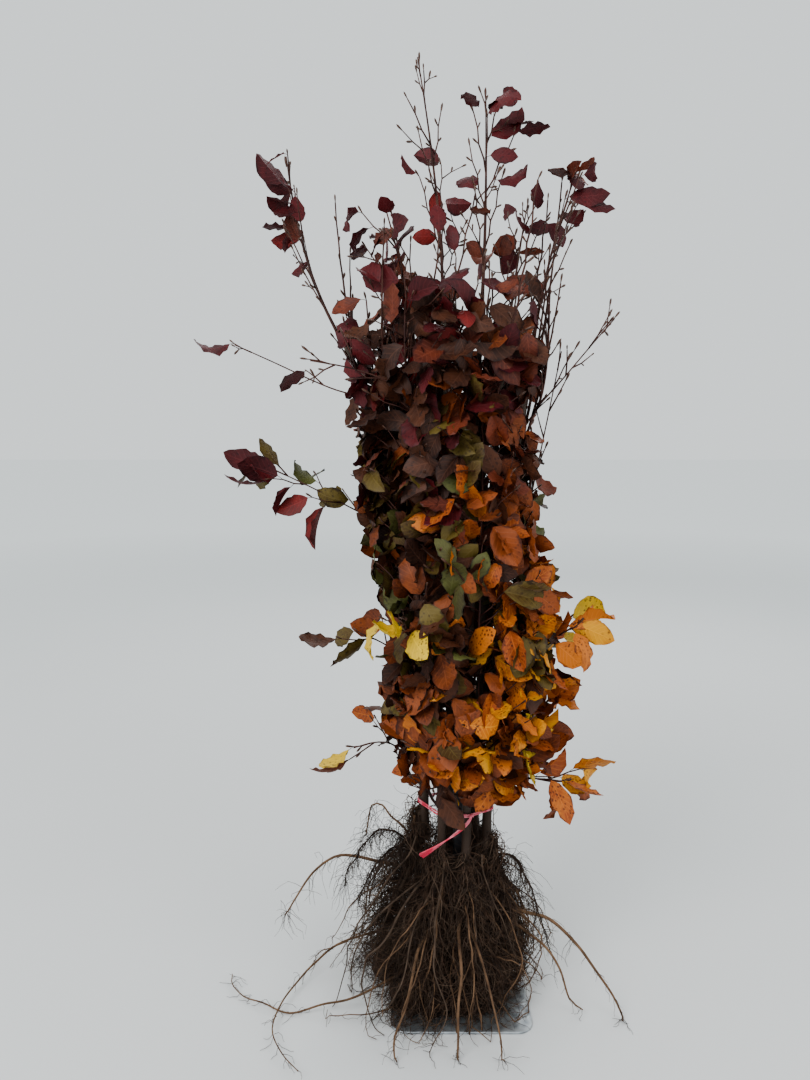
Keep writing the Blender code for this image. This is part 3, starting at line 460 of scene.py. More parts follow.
# The rootlets of one root of each kind: how many there are, their lengths and how much they droop
Rootlets = namedtuple("Rootlets", "count lengths droop")
STOUT_ROOTLETS = Rootlets(20, (0.02, 0.07), 0.3)
LONG_ROOTLETS = Rootlets(30, (0.02, 0.045), 0.5)
LIFTED_ROOTLETS = Rootlets(60, (0.02, 0.075), 0.5)
HANGING_ROOTLETS = Rootlets(10, (0.015, 0.05), 0.3)
TRAILING_ROOTLETS = Rootlets(12, (0.015, 0.05), 0.2)
FIBRE_ROOTLETS = Rootlets(4, (0.015, 0.05), 0.15)
COLLAR_ROOTLETS = Rootlets(4, (0.012, 0.035), 0.2)
DARK_ROOTLETS = Rootlets(230, (0.02, 0.075), 0.55)
ROOTLET_RADII = (0.00046, 0.00038, 0.00032, 0.00026, 0.0002)
ROOTLET_STRAY = 0.7
ROOTLET_LIMITS = (Vector((-0.435, -0.254, 0)), Vector((0.276, 0.252, 0)))

# The dense cores of the root masses
CORE_TOP_DROP = 0.03
CORE_SIDES = 28
CORE_RADIUS_SHARE = 0.36
CORE_TOP_RADIUS = 0.012
CORE_PLACE_SHARE = 0.6
CORE_RING = 0.011
CORE_LEAN_SHARE = 0.30
CORE_LEAN_POWER = 1.6
CORE_GRAIN = 0.22
CORE_FLUTES = 11
CORE_FLUTE_DEPTH = 0.10

# Twine: the lift and slope of its two turns, the turn and size of the knot's two loops, and its loose end
TWINE_HEIGHT = 0.318
TWINE_CLEARANCE = 0.0017
TWINE_TURNS = ((-0.0013, 0.010), (0.0012, -0.014))
TWINE_GIRTH = 0.0013
TWINE_UNEVEN = 0.0003
TWINE_CORNERS = 14
KNOT_AZIMUTH = 303
KNOT_DEPTH = 0.00189
KNOT_LOOPS = ((0.3, 0.0034), (1.5, 0.0030))
KNOT_POINTS = 15
KNOT_WRAP = 1.15
KNOT_FLAT = 0.8
KNOT_PITCH = 0.0003
TAIL_LEAD = Vector((0.0, -0.014, -0.012))
TAIL_DROP = Vector((-0.083, -0.012, -0.064))
TAIL_RINGS = 12
TAIL_STRANDS = 7
TAIL_HALF_WIDTH = (0.0012, 0.0058)
TAIL_TWIST = (3.1, 0.5)
TAIL_FLAT = 0.7
TAIL_GIRTH = 0.00115
TAIL_UNEVEN = 0.0002

# Light and view
SKY = (0.80, 0.84, 0.85, 1)
Lamp = namedtuple("Lamp", "name place size power")
LAMPS = (
    Lamp("key", (-1.6, -2.2, 2.6), 1.8, 70),
    Lamp("fill", (2.2, -1.6, 1.6), 1.6, 22),
    Lamp("back", (0.6, 2.4, 2.6), 1.8, 28),
)
LIT_MIDDLE = Vector((-0.05, 0, 0.7))
FLOOR_SIZE = 60
FLOOR_DROP = 0.0005
EYE = (-0.0915, -1.38, 0.95)
EYE_PITCH = 7.2
LENS = 28
SENSOR = 36


def polar(azimuth, reach, height):
    angle = radians(azimuth)
    return Vector((reach * cos(angle), reach * sin(angle), height))


def mix(ends, t):
    return ends[0] + (ends[1] - ends[0]) * t


def clamp(value):
    return min(1.0, max(0.0, value))


def any_way(rng, most):
    """A push in any direction, with each of its parts at most so much."""
    return Vector([rng.uniform(-most, most) for _ in range(3)])


def even_radii(ends, points):
    return [mix(ends, k / (len(points) - 1)) for k in range(len(points))]


def outward_at(point):
    return Vector((point.x, point.y, 0)).normalized()


def sweep(start, lead, end, rings, sag=0.0):
    """Points on a curve that leaves start along lead and comes to end, with a sag in the middle."""
    control = start + lead
    points = [start]
    for k in range(1, rings + 1):
        t = k / rings
        point = start * (1 - t) ** 2 + control * (2 * t * (1 - t)) + end * t**2
        points.append(point - UP * (sag * sin(pi * t)))
    return points


def rounded(points, radii, spacing):
    """The same line with its corners rounded, as points a spacing apart, and their radii."""
    ends = [points[0] * 2 - points[1], *points, points[-1] * 2 - points[-2]]
    line = []
    girths = []
    for k in range(len(points) - 1):
        a, b, c, d = ends[k : k + 4]
        bend = a * 2 - b * 5 + c * 4 - d
        turn = b * 3 - a - c * 3 + d
        steps = max(1, round((c - b).length / spacing))
        for step in range(steps):
            t = step / steps
            line.append((b * 2 + (c - a) * t + bend * t**2 + turn * t**3) / 2)
            girths.append(mix((radii[k], radii[k + 1]), t))
    return [*line, points[-1]], [*girths, radii[-1]]


def stem_path(sapling):
    """Points and radii of a stem, from its foot at the collar to its shoulder."""
    rng = random.Random(sapling.name)
    foot = polar(sapling.side, sapling.foot, sapling.collar)
    shoulder = polar(*sapling.shoulder)
    points = [foot, foot + UP * VERTICAL_START]
    radii = [sapling.girth * FLARE, sapling.girth * FLARE]
    for ring in range(1, STEM_RINGS + 1):
        t = ring / STEM_RINGS
        point = foot.lerp(shoulder, t**sapling.bend)
        point.z = mix((foot.z, shoulder.z), t)
        if ring < STEM_RINGS:
            point.x += rng.uniform(-STEM_KINK, STEM_KINK)
            point.y += rng.uniform(-STEM_KINK, STEM_KINK)
        flare = max(0.0, 1 - (point.z - foot.z) / FLARE_TOP)
        points.append(point)
        radii.append(sapling.girth * mix((1, FLARE), flare) * mix((1, SHOULDER_SHARE), t))
    return points, radii


def along_stem(path, height):
    """The place on a stem at that height, the stem's direction there and its radius."""
    points, radii = path
    for k in range(1, len(points)):
        if points[k].z >= height:
            t = (height - points[k - 1].z) / (points[k].z - points[k - 1].z)
            direction = (points[k] - points[k - 1]).normalized()
            return points[k - 1].lerp(points[k], t), direction, mix((radii[k - 1], radii[k]), t)
    raise ValueError("the height is above the stem")


def crown_centre(height):
    """The crown's own axis at that height."""
    return CROWN_FOOT.lerp(CROWN_HEAD, clamp((height - CROWN_FOOT.z) / (CROWN_HEAD.z - CROWN_FOOT.z)))


def shoot_path(sapling, tier, path):
    """The main twig of a side shoot: it leaves the stem squarely and rises outwards."""
    low, high = TIER_EDGES[tier], TIER_EDGES[tier + 1]
    height = low + SHOOT_RISE_START
    # The start's height and the stem's reach there depend on each other, so they settle in a few goes
    for _ in range(3):
        reach = along_stem(path, height)[0].xy.length
        height = max(low + SHOOT_RISE_START + BAND_SLOPE * reach, sapling.collar + FLARE_TOP)
        height = min(height, path[0][-1].z - SHOOT_RISE_START)
    centre, direction, radius = along_stem(path, height)
    outward = polar(sapling.side, 1, 0)
    outward = (outward - direction * outward.dot(direction)).normalized()
    start = centre + outward * (radius + SEAT_GAP)
    reach = max(centre.xy.length + SHOOT_SPREAD, SHOOT_LEAST_REACH)
    end = polar(sapling.side, reach, high + BAND_SLOPE * reach * SHOOT_TOP_SHARE)
    return [start, *sweep(start + outward * STUB, outward * SHOOT_BOW + UP * SHOOT_BOW, end, SHOOT_RINGS)]


def long_shoot_path(main, long_shoot):
    """A long shoot leaves the main twig half-way and sweeps out to its tip."""
    tip = polar(long_shoot.azimuth, long_shoot.reach, long_shoot.height)
    return sweep(main[2], (main[3] - main[2]) * LONG_SHOOT_LEAD, tip, LONG_SHOOT_RINGS, long_shoot.droop)


def leader_path(sapling, path):
    """A leader's own line: a thin whip from the stem's shoulder to the sapling's tip."""
    points, _ = path
    run = (points[-1] - points[-2]).normalized()
    start = points[-1] + run * SEAT_GAP
    tip = polar(*sapling.tip)
    stub = start + run * VERTICAL_START
    return [start, *sweep(stub, run * (tip - stub).length * LEADER_LEAD, tip, LEADER_RINGS)]


def twig_starts(path, shares, lengths, rng, rise):
    """Twigs on alternate sides of a shoot: the start, direction, length and share along it of each."""
    found = []
    total = len(path) - 1
    for k, share in enumerate(shares):
        piece = min(int(total * share), total - 1)
        start = path[piece].lerp(path[piece + 1], total * share - piece)
        run = (path[piece + 1] - path[piece]).normalized()
        outward = outward_at(start)
        side = run.cross(outward).normalized() * (1 if k % 2 else -1)
        angle = radians(rise + rng.uniform(-TWIG_STRAY, TWIG_STRAY))
        side = (side + outward * rng.uniform(*TWIG_OUTWARD)).normalized()
        direction = (run * cos(angle) + side * sin(angle)).normalized()
        found.append((start, direction, mix(lengths, share), share))
    return found


def end_twig(line, back, length):
    """The twig that carries a line on past its tip, as twig_starts gives one."""
    run = (line[-1] - line[-2]).normalized()
    return line[-1] - run * back, run, length, 1.0


def even_shares(count, first, rng):
    return [first + (1 - first) * (k + rng.random() * 0.5) / count for k in range(count)]


def anywhere(end):
    return True


# How a twig is clothed: the leaves next to its tip, the odds of one at another node and of a finer twig
# there, the leaves' lengths and tint, the share whose tint is dealt anew, the share that show their backs,
# and the test that a leaf's end has to pass
Spray = namedtuple(
    "Spray",
    "leaves odds fine lengths tint mixed turned inside",
    defaults=(0, 0, LEAF_LENGTH, "olive", 0, 0, anywhere),
)


class Growth:
    """All that grows above the roots: the lines of twigs and stalks, and the places of buds and leaves."""

    def __init__(self):
        self.twigs = []
        self.stalks = []
        self.buds = []
        self.leaves = {tint: [] for tint in TINTS}

    def bud(self, base, direction, rng):
        length = mix(BUD_LENGTH, rng.random())
        self.buds.append(placed(base, direction, outward_at(base) + UP * BUD_FACE_UP, length, length))

    def leaf(self, base, run, side, spray, rng):
        """A leaf on its stalk, turned until its end is allowed there, or left out. Says whether it grew."""
        outward = outward_at(base)
        length = mix(spray.lengths, rng.random())
        tint = deal_tint(rng, base) if rng.random() < spray.mixed else spray.tint
        angle = radians(LEAF_ANGLE)
        for attempt in range(LEAF_TRIES):
            stray = any_way(rng, LEAF_STRAY + attempt * LEAF_STRAY_STEP)
            along = run * cos(angle) + side * sin(angle) - UP * LEAF_DROOP + stray
            along = (along + outward * LEAF_OUTWARD).normalized()
            tilt = any_way(rng, LEAF_TILT)
            face = (outward + UP * LEAF_FACE_UP + tilt).normalized()
            stalk = run * STALK_WAY[0] + side * STALK_WAY[1] + along * STALK_WAY[2]
            stalk = stalk.normalized() * mix(STALK_LENGTH, rng.random())
            foot = base + stalk
            end = foot + along * length
            if end.z <= LEAF_LOWEST + LEAF_LOWEST_SLOPE * -end.y or not spray.inside(end):
                continue
            if rng.random() < spray.turned:
                face = (TURNED_FACE + tilt * TURNED_TILT).normalized()
            width = length * rng.uniform(*LEAF_WIDTH)
            self.stalks.append(([base, base + stalk * STALK_MIDDLE, foot + along * STALK_SUNK], STALK_RADII))
            self.leaves[tint].append((*placed(foot, along, face, length, width), rng.random()))
            return True
        return False

    def twig(self, start, direction, length, radii, spray, rng, bow=0.0):
        """A zigzag twig, with leaves towards its tip, and buds or finer twigs at the other nodes."""
        nodes = max(2, round(length / NODE_SPACING))
        outward = outward_at(start)
        across = direction.cross(outward).normalized()
        curve = UP * rng.uniform(0, TWIG_CURVE) + outward * rng.uniform(-TWIG_CURVE, TWIG_CURVE)
        curve = (curve + (UP - outward) * bow) * length
        points = [start]
        for k in range(1, nodes + 1):
            t = k / nodes
            kink = across * (ZIGZAG * (1 if k % 2 else -1)) if k < nodes else Vector()
            points.append(start + direction * (length * t) + curve * t**2 + kink)
        self.twigs.append((points, even_radii(radii, points)))
        for k in range(1, nodes + 1):
            run = (points[k] - points[k - 1]).normalized()
            last = k == nodes
            side = across * (1 if k % 2 else -1)
            side = (side + outward * rng.uniform(*NODE_OUTWARD)).normalized()
            if nodes - k < spray.leaves or rng.random() < spray.odds:
                aside = side * (TIP_LEAF_ASIDE if last else 1.0)
                if self.leaf(points[k], run, aside, spray, rng):
                    if last:
                        self.bud(points[k], (run + side * TIP_BUD_ASIDE).normalized(), rng)
                    continue
            if last:
                self.bud(points[k], run, rng)
            elif rng.random() < spray.fine:
                self.finer_twig(points[k], run, side, length, spray, rng)
            elif spray.leaves < nodes:
                angle = radians(rng.uniform(*BUD_ANGLE))
                self.bud(points[k], run * cos(angle) + side * sin(angle), rng)

    def finer_twig(self, base, run, side, length, spray, rng):
        """A finer twig from a node, with half the leaves. It is left out where it would leave the crown."""
        angle = radians(rng.uniform(*FINE_TWIG_ANGLE))
        away = run * cos(angle) + side * sin(angle)
        reach = min(length * FINE_TWIG_SHARE, rng.uniform(*FINE_TWIG_LENGTH))
        if spray.inside(base + away * (reach + FINE_TWIG_MARGIN)):
            finer = spray._replace(leaves=spray.leaves // 2, odds=0, fine=0, tint=deal_tint(rng, base))
            self.twig(base, away, reach, FINE_TWIG_RADIUS, finer, rng)


def placed(base, along, face, length, width):
    """The matrix that sets a model which is 1 m long along +Y, and faces +Z, at base."""
    along = along.normalized()
    across = along.cross(face).normalized()
    normal = across.cross(along)
    turned = Matrix((across * width, along * length, normal * length)).transposed()
    return turned, base


def deal_tint(rng, place):
    """A tint for a spray, by the odds at its height and side."""
    band = next(band for band in TINT_BANDS if place.z <= band.top)
    right = place.x - crown_centre(place.z).x + rng.uniform(-TINT_EDGE_BLUR, TINT_EDGE_BLUR) > 0
    odds = band.right if right else band.left
    return rng.choices(list(odds), list(odds.values()))[0]


def in_crown(end):
    """Whether a leaf's end is inside the crown's ragged outline."""
    k = next(k for k, ring in enumerate(CROWN_OUTLINE) if end.z < ring[0])
    low, high = CROWN_OUTLINE[max(0, k - 1)], CROWN_OUTLINE[k]
    t = (end.z - low[0]) / (high[0] - low[0]) if k else 0.0
    left, right, depth = (mix((low[n], high[n]), t) for n in (1, 2, 3))
    across = (end.x - (left + right) / 2) / ((right - left) / 2)
    back = end.y / depth
    turn = atan2(back, across)
    place = Vector((cos(turn) * CROWN_RAGS_ROUND, sin(turn) * CROWN_RAGS_ROUND, end.z * CROWN_RAGS_UP))
    return hypot(across, back) < 1 + CROWN_RAGGED * noise.noise(place)


def in_thinning_crown(rng):
    """The same test, but fewer and fewer leaves pass it towards the crown's top."""

    def allowed(end):
        t = clamp((end.z - CROWN_THINS[0]) / (CROWN_THINS[1] - CROWN_THINS[0]))
        return rng.random() < mix((1, CROWN_THINNEST), t) and in_crown(end)

    return allowed


def grow_side_shoot(growth, sapling, tier, path):
    """A side shoot: its main twig, its long shoot if it has one, and the leafy twigs of both."""
    name = f"foliage_{TIER_NAMES[tier]}_{sapling.name}"
    rng = random.Random(name)
    main = shoot_path(sapling, tier, path)
    shares = [mix(TWIG_SHARES, (k + FIRST_TWIG_TURN) * GOLDEN_SHARE % 1.0) for k in range(MOST_TWIGS)]
    main_twigs = twig_starts(main[1:], shares, TWIG_LENGTH, rng, TWIG_RISE)
    long_shoot = LONG_SHOOTS.get((sapling.name, tier))
    if long_shoot:
        line = long_shoot_path(main, long_shoot)
        shares = even_shares(long_shoot.twigs, LONG_TWIGS_FROM, rng)
        long_twigs = twig_starts(line, shares, LONG_TWIG_LENGTH, rng, LONG_TWIG_RISE)

    rng = random.Random(name + " leaves")
    inner = main[0] - outward_at(main[0]) * SHOOT_SUNK
    girths = [SHOOT_FOOT_RADIUS, *even_radii(SHOOT_RADIUS, main)[1:]]
    growth.twigs.append(rounded([inner, *main[1:]], girths, SHOOT_SPACING))
    if long_shoot:
        growth.twigs.append(rounded(line, even_radii(LONG_SHOOT_RADIUS, line), SHOOT_SPACING))
        spray = Spray(long_shoot.leaves, fine=0.25, lengths=LARGE_LEAF_LENGTH, turned=0.25)
        long_twigs.append(end_twig(line, LONG_END_TWIG, LONG_END_TWIG))
        tints = long_shoot.tints.split()
        for k, (start, direction, length, _) in enumerate(long_twigs):
            tint = tints[k % len(tints)]
            growth.twig(start, direction, length, TWIG_RADIUS, spray._replace(tint=tint), rng)
    main_twigs.append(end_twig(main, END_TWIG_BACK, END_TWIG_LENGTH))
    clothing = Spray(
        4, fine=0.6, mixed=OTHER_TINT_SHARE, turned=TURNED_SHARES[tier], inside=in_thinning_crown(rng)
    )
    for start, direction, length, _ in main_twigs:
        spray = clothing._replace(tint=deal_tint(rng, start))
        while length > TWIG_SHORTEST and not in_crown(start + direction * (length + TWIG_MARGIN)):
            length *= TWIG_CUT
        growth.twig(start, direction, length, TWIG_RADIUS, spray, rng)


def grow_leader(growth, sapling, path):
    """A leader: its whip, its rising twigs, most of them bare, and its few leaves."""
    name = f"leader_{sapling.name}"
    rng = random.Random(name)
    leader = LEADERS[sapling.name]
    line = leader_path(sapling, path)
    shares = even_shares(leader.twigs, LEADER_TWIGS_FROM, rng)
    starts = twig_starts(line[1:], shares, LEADER_TWIG_LENGTH, rng, LEADER_TWIG_RISE)
    rng = random.Random(name + " leaves")
    ends = (path[1][-1] * LEADER_FOOT_SHARE, TWIG_RADIUS[1])
    whip, radii = rounded(line, even_radii(ends, line), SHOOT_SPACING)
    growth.twigs.append((whip, radii))
    start, run, length, _ = end_twig(whip, LEADER_TIP, LEADER_TIP / 2)
    growth.bud(whip[-1] - UP * LEADER_BUD_DROP, run, rng)
    if leader.tip_leaves:
        spray = Spray(leader.tip_leaves, tint=deal_tint(rng, whip[-1]), mixed=0.2, turned=leader.backs)
        growth.twig(start, run, length, FINE_TWIG_RADIUS, spray, rng)
    for start, direction, length, share in starts:
        leafy = leader.leafy_from <= share <= leader.leafy_to
        headroom = (line[-1].z - LEADER_HEADROOM - start.z) / direction.z
        reach = min(length, headroom)
        if reach > LEADER_HEADROOM:
            leaves, odds = (rng.choice((1, 1, 2, 2)), 0.1) if leafy else (0, 0)
            tint = deal_tint(rng, start + UP * LEADER_TINT_RISE)
            spray = Spray(leaves, odds, 0.3, SMALL_LEAF_LENGTH, tint, mixed=0.2, turned=leader.backs)
            growth.twig(start, direction, reach, TWIG_RADIUS, spray, rng)


def grow_whips(growth, sapling, path):
    """Upright twigs from the top of the stem that thin the crown out towards the leaders."""
    rng = random.Random("whips " + sapling.name)
    side = "left" if "left" in sapling.name else "right"
    for _ in range(WHIPS[side]):
        centre, _, radius = along_stem(path, rng.uniform(*WHIP_START))
        away = polar(sapling.side + rng.uniform(-WHIP_TURN, WHIP_TURN), 1, 0)
        direction = (UP + away * rng.uniform(*WHIP_LEAN)).normalized()
        length = (rng.uniform(*WHIP_TOP) - centre.z) / (direction.z + WHIP_BOW)
        start = centre + away * radius * 0.5
        tint = deal_tint(rng, start + UP * length * WHIP_TINT_SHARE)
        leaves = rng.choice(WHIP_LEAVES[side])
        spray = Spray(leaves, 0.06, 0.16, SMALL_LEAF_LENGTH, tint, mixed=0.4, turned=0.1, inside=in_crown)
        growth.twig(start, direction, length, WHIP_RADIUS, spray, rng, WHIP_BOW)


def only(obj):
    """Selects one object, and makes it the active one."""
    bpy.ops.object.select_all(action="DESELECT")
    obj.select_set(True)
    bpy.context.view_layer.objects.active = obj


def added(name, data):
    """A new object that shows this data."""
    obj = bpy.data.objects.new(name, data)
    bpy.context.scene.collection.objects.link(obj)
    return obj


def adjusted(thing, **settings):
    """The thing itself, with these settings made."""
    for key, value in settings.items():
        setattr(thing, key, value)
    return thing


def named(name, **place):
    """The primitive just added, with its name, and with its place, turn and size put into its mesh."""
    obj = adjusted(bpy.context.active_object, name=name, **place)
    only(obj)
    bpy.ops.object.transform_apply(location=True, rotation=True, scale=True)
    return obj


@contextmanager
def editing(obj):
    """Edit mode on one object while a block runs."""
    only(obj)
    bpy.ops.object.mode_set(mode="EDIT")
    yield
    bpy.ops.object.mode_set(mode="OBJECT")


def apply_modifiers(obj):
    only(obj)
    for modifier in list(obj.modifiers):
        bpy.ops.object.modifier_apply(modifier=modifier.name)


def smooth(obj, angle=None):
    """Smooth shading all over, or only over edges that bend less than an angle in degrees."""
    only(obj)
    if angle:
        bpy.ops.object.shade_smooth_by_angle(angle=radians(angle))
    else:
        bpy.ops.object.shade_smooth()


def pick(obj, wanted, kind="verts"):
    """In edit mode, selects the vertices, edges or faces that the test wants."""
    bpy.ops.mesh.select_mode(type={"verts": "VERT", "edges": "EDGE", "faces": "FACE"}[kind])
    bpy.ops.mesh.select_all(action="DESELECT")
    shape = bmesh.from_edit_mesh(obj.data)
    for item in getattr(shape, kind):
        if wanted(item):
            item.select_set(True)
    shape.select_flush_mode()
    bmesh.update_edit_mesh(obj.data)


def merge(distance):
    """In edit mode, joins the points that lie within a distance."""
    bpy.ops.mesh.select_all(action="SELECT")
    bpy.ops.mesh.remove_doubles(threshold=distance)


def ring_cut(place, normal):
    """In edit mode, cuts a ring of edges across the whole piece."""
    bpy.ops.mesh.select_all(action="SELECT")
    bpy.ops.mesh.bisect(plane_co=place, plane_no=normal)


def section(sides):
    """A closed outline of radius 1, which a line takes as its section."""
    name = f"section_{sides}"
    found = bpy.data.objects.get(name)
    if found:
        return found
    curve = bpy.data.curves.new(name, "CURVE")
    spline = curve.splines.new("POLY")
    spline.points.add(sides - 1)
    for k, point in enumerate(spline.points):
        angle = -2 * pi * k / sides
        point.co = (cos(angle), sin(angle), 0, 1)
    spline.use_cyclic_u = True
    obj = added(name, curve)
    obj.hide_render = True
    return obj


def tubes(name, lines, sides, cyclic=False):
    """One mesh of round tubes that follow the lines, each a list of points with a radius at each one."""
    curve = bpy.data.curves.new(name, "CURVE")
    adjusted(curve, dimensions="3D", bevel_mode="OBJECT", bevel_object=section(sides))
    curve.use_fill_caps = not cyclic
    for points, radii in lines:
        spline = curve.splines.new("POLY")
        spline.points.add(len(points) - 1)
        spline.use_cyclic_u = cyclic
        spline.points.foreach_set("co", [value for point in points for value in (*point, 1)])
        spline.points.foreach_set("radius", list(radii))
    only(added(name, curve))
    bpy.ops.object.convert(target="MESH")
    obj = bpy.context.active_object
    with editing(obj):
        merge(1e-6)
    smooth(obj)
    return obj


def model_leaf(shape):
    """A leaf 1 m long, from the origin along +Y: thin, closed, toothed, its back with a finish of its own."""
    bpy.ops.mesh.primitive_grid_add(
        x_subdivisions=LEAF_COLUMNS, y_subdivisions=LEAF_ROWS, size=1, location=(0, 0.5, 0), calc_uvs=True
    )
    leaf = named(shape.name)

    def pick_row(y, side=0, low=-1, high=1):
        pick(leaf, lambda vert: abs(vert.co.y - y) < NEAR and low < vert.co.x * side < high)

    with editing(leaf):
        for row, half in enumerate(LEAF_HALF_WIDTHS):
            y = row / LEAF_ROWS
            pick_row(y)
            width = 2 * half * LEAF_TEETH[row % 2]
            bpy.ops.transform.resize(value=(width, 1, 1), center_override=(0, y, 0))
        for row in range(1, LEAF_ROWS):
            y = row / LEAF_ROWS
            half = LEAF_HALF_WIDTHS[row]
            for side in (-1, 1):
                lift = shape.wave * sin(row * LEAF_RIPPLE + side)
                pick_row(y, side, half * LEAF_RIM)
                bpy.ops.transform.translate(value=(0, LEAF_RIM_FORWARD, half * shape.fold + lift))
                pick_row(y, side, half * LEAF_INNER, half * LEAF_RIM)
                rise = half * shape.fold * 0.5 - lift * 0.3
                bpy.ops.transform.translate(value=(0, LEAF_INNER_FORWARD, rise))
        pick_row(1)
        bpy.ops.transform.translate(value=(shape.lean, 0.0, 0))
        beyond = set()
        for row in range(LEAF_ROWS - 1, 0, -1):
            y = row / LEAF_ROWS
            verts = bmesh.from_edit_mesh(leaf.data).verts
            beyond |= {vert.index for vert in verts if vert.co.y > y + 0.05}
            pick(leaf, lambda vert: vert.index in beyond)
            turn = -radians(shape.curl) / (LEAF_ROWS - 1)
            bpy.ops.transform.rotate(value=turn, orient_axis="X", center_override=(0, y, 0))
        merge(1e-4)

    rim = rim_points(leaf.data)
    inner = leaf.vertex_groups.new(name="inner")
    inner.add([v.index for v in leaf.data.vertices if v.index not in rim], 1.0, "REPLACE")
    turn = leaf.modifiers.new("twist", "SIMPLE_DEFORM")
    adjusted(turn, deform_method="TWIST", deform_axis="Y", angle=radians(shape.twist))
    wall = leaf.modifiers.new("thickness", "SOLIDIFY")
    adjusted(wall, thickness=LEAF_THICKNESS, offset=0, vertex_group="inner", use_rim=False, material_offset=1)
    for finish in ("face", "back"):
        leaf.data.materials.append(bpy.data.materials.get(finish) or bpy.data.materials.new(finish))
    apply_modifiers(leaf)
    with editing(leaf):
        merge(1e-4)
        bpy.ops.mesh.normals_make_consistent(inside=False)
    return leaf


def rim_points(mesh):
    """The points on edges that only one face has."""
    count = {}
    for polygon in mesh.polygons:
        for key in polygon.edge_keys:
            count[key] = count.get(key, 0) + 1
    return {point for key, uses in count.items() if uses == 1 for point in key}


def model_bud():
    """A beech bud 1 m long, from the origin along +Y: slim, widest below the middle, and sharply pointed."""
    bpy.ops.mesh.primitive_cone_add(vertices=5, radius1=BUD_GIRTH, radius2=0.0, depth=1, end_fill_type="NGON")
    bud = named("bud", rotation_euler=(-pi / 2, 0, 0), location=(0, 0.5, 0))
    with editing(bud):
        for y, girth in BUD_RINGS:
            ring_cut((0, y, 0), (0, 1, 0))
            pick(bud, lambda vert: abs(vert.co.y - y) < NEAR)
            bpy.ops.transform.resize(value=(girth, 1, girth), center_override=(0, y, 0))
    return bud


def arrays_of(obj):
    """A model's points, its faces' corners, sizes and finishes, and the corners' places in its UV map."""
    mesh = obj.data

    def read(items, key, kind, width=1):
        values = np.empty(len(items) * width, kind)
        items.foreach_get(key, values)
        return values

    return (
        read(mesh.vertices, "co", float, 3).reshape(-1, 3),
        read(mesh.loops, "vertex_index", np.int32),
        read(mesh.polygons, "loop_total", np.int32),
        read(mesh.polygons, "material_index", np.int32),
        read(mesh.uv_layers.active.data, "uv", float, 2),
    )


def scatter(name, models, places):
    """One mesh of copies of the models, each at its place. A place may end in a shade, kept by its points."""
    told = [arrays_of(model) for model in models]
    points, corners, sizes, finishes, uvs, shades = [], [], [], [], [], []
    base = 0
    for k, (turned, foot, *shade) in enumerate(places):
        co, loops, totals, slots, uv = told[k % len(told)]
        points.append(co @ np.array(turned).T + np.array(foot))
        corners.append(loops + base)
        sizes.append(totals)
        finishes.append(slots)
        uvs.append(uv)
        shades.append(np.full(len(co), shade[0] if shade else 0.5))
        base += len(co)
    mesh = bpy.data.meshes.new(name)
    corners = np.concatenate(corners)
    sizes = np.concatenate(sizes)
    mesh.vertices.add(base)
    mesh.vertices.foreach_set("co", np.concatenate(points).ravel())
    mesh.loops.add(len(corners))
    mesh.loops.foreach_set("vertex_index", corners)
    mesh.polygons.add(len(sizes))
    mesh.polygons.foreach_set("loop_start", np.concatenate(([0], np.cumsum(sizes)[:-1])).astype(np.int32))
    mesh.polygons.foreach_set("loop_total", sizes)
    mesh.polygons.foreach_set("material_index", np.concatenate(finishes))
    mesh.uv_layers.new(name="UVMap").data.foreach_set("uv", np.concatenate(uvs))
    mesh.attributes.new("shade", "FLOAT", "POINT").data.foreach_set("value", np.concatenate(shades))
    mesh.update(calc_edges=True)
    return added(name, mesh)


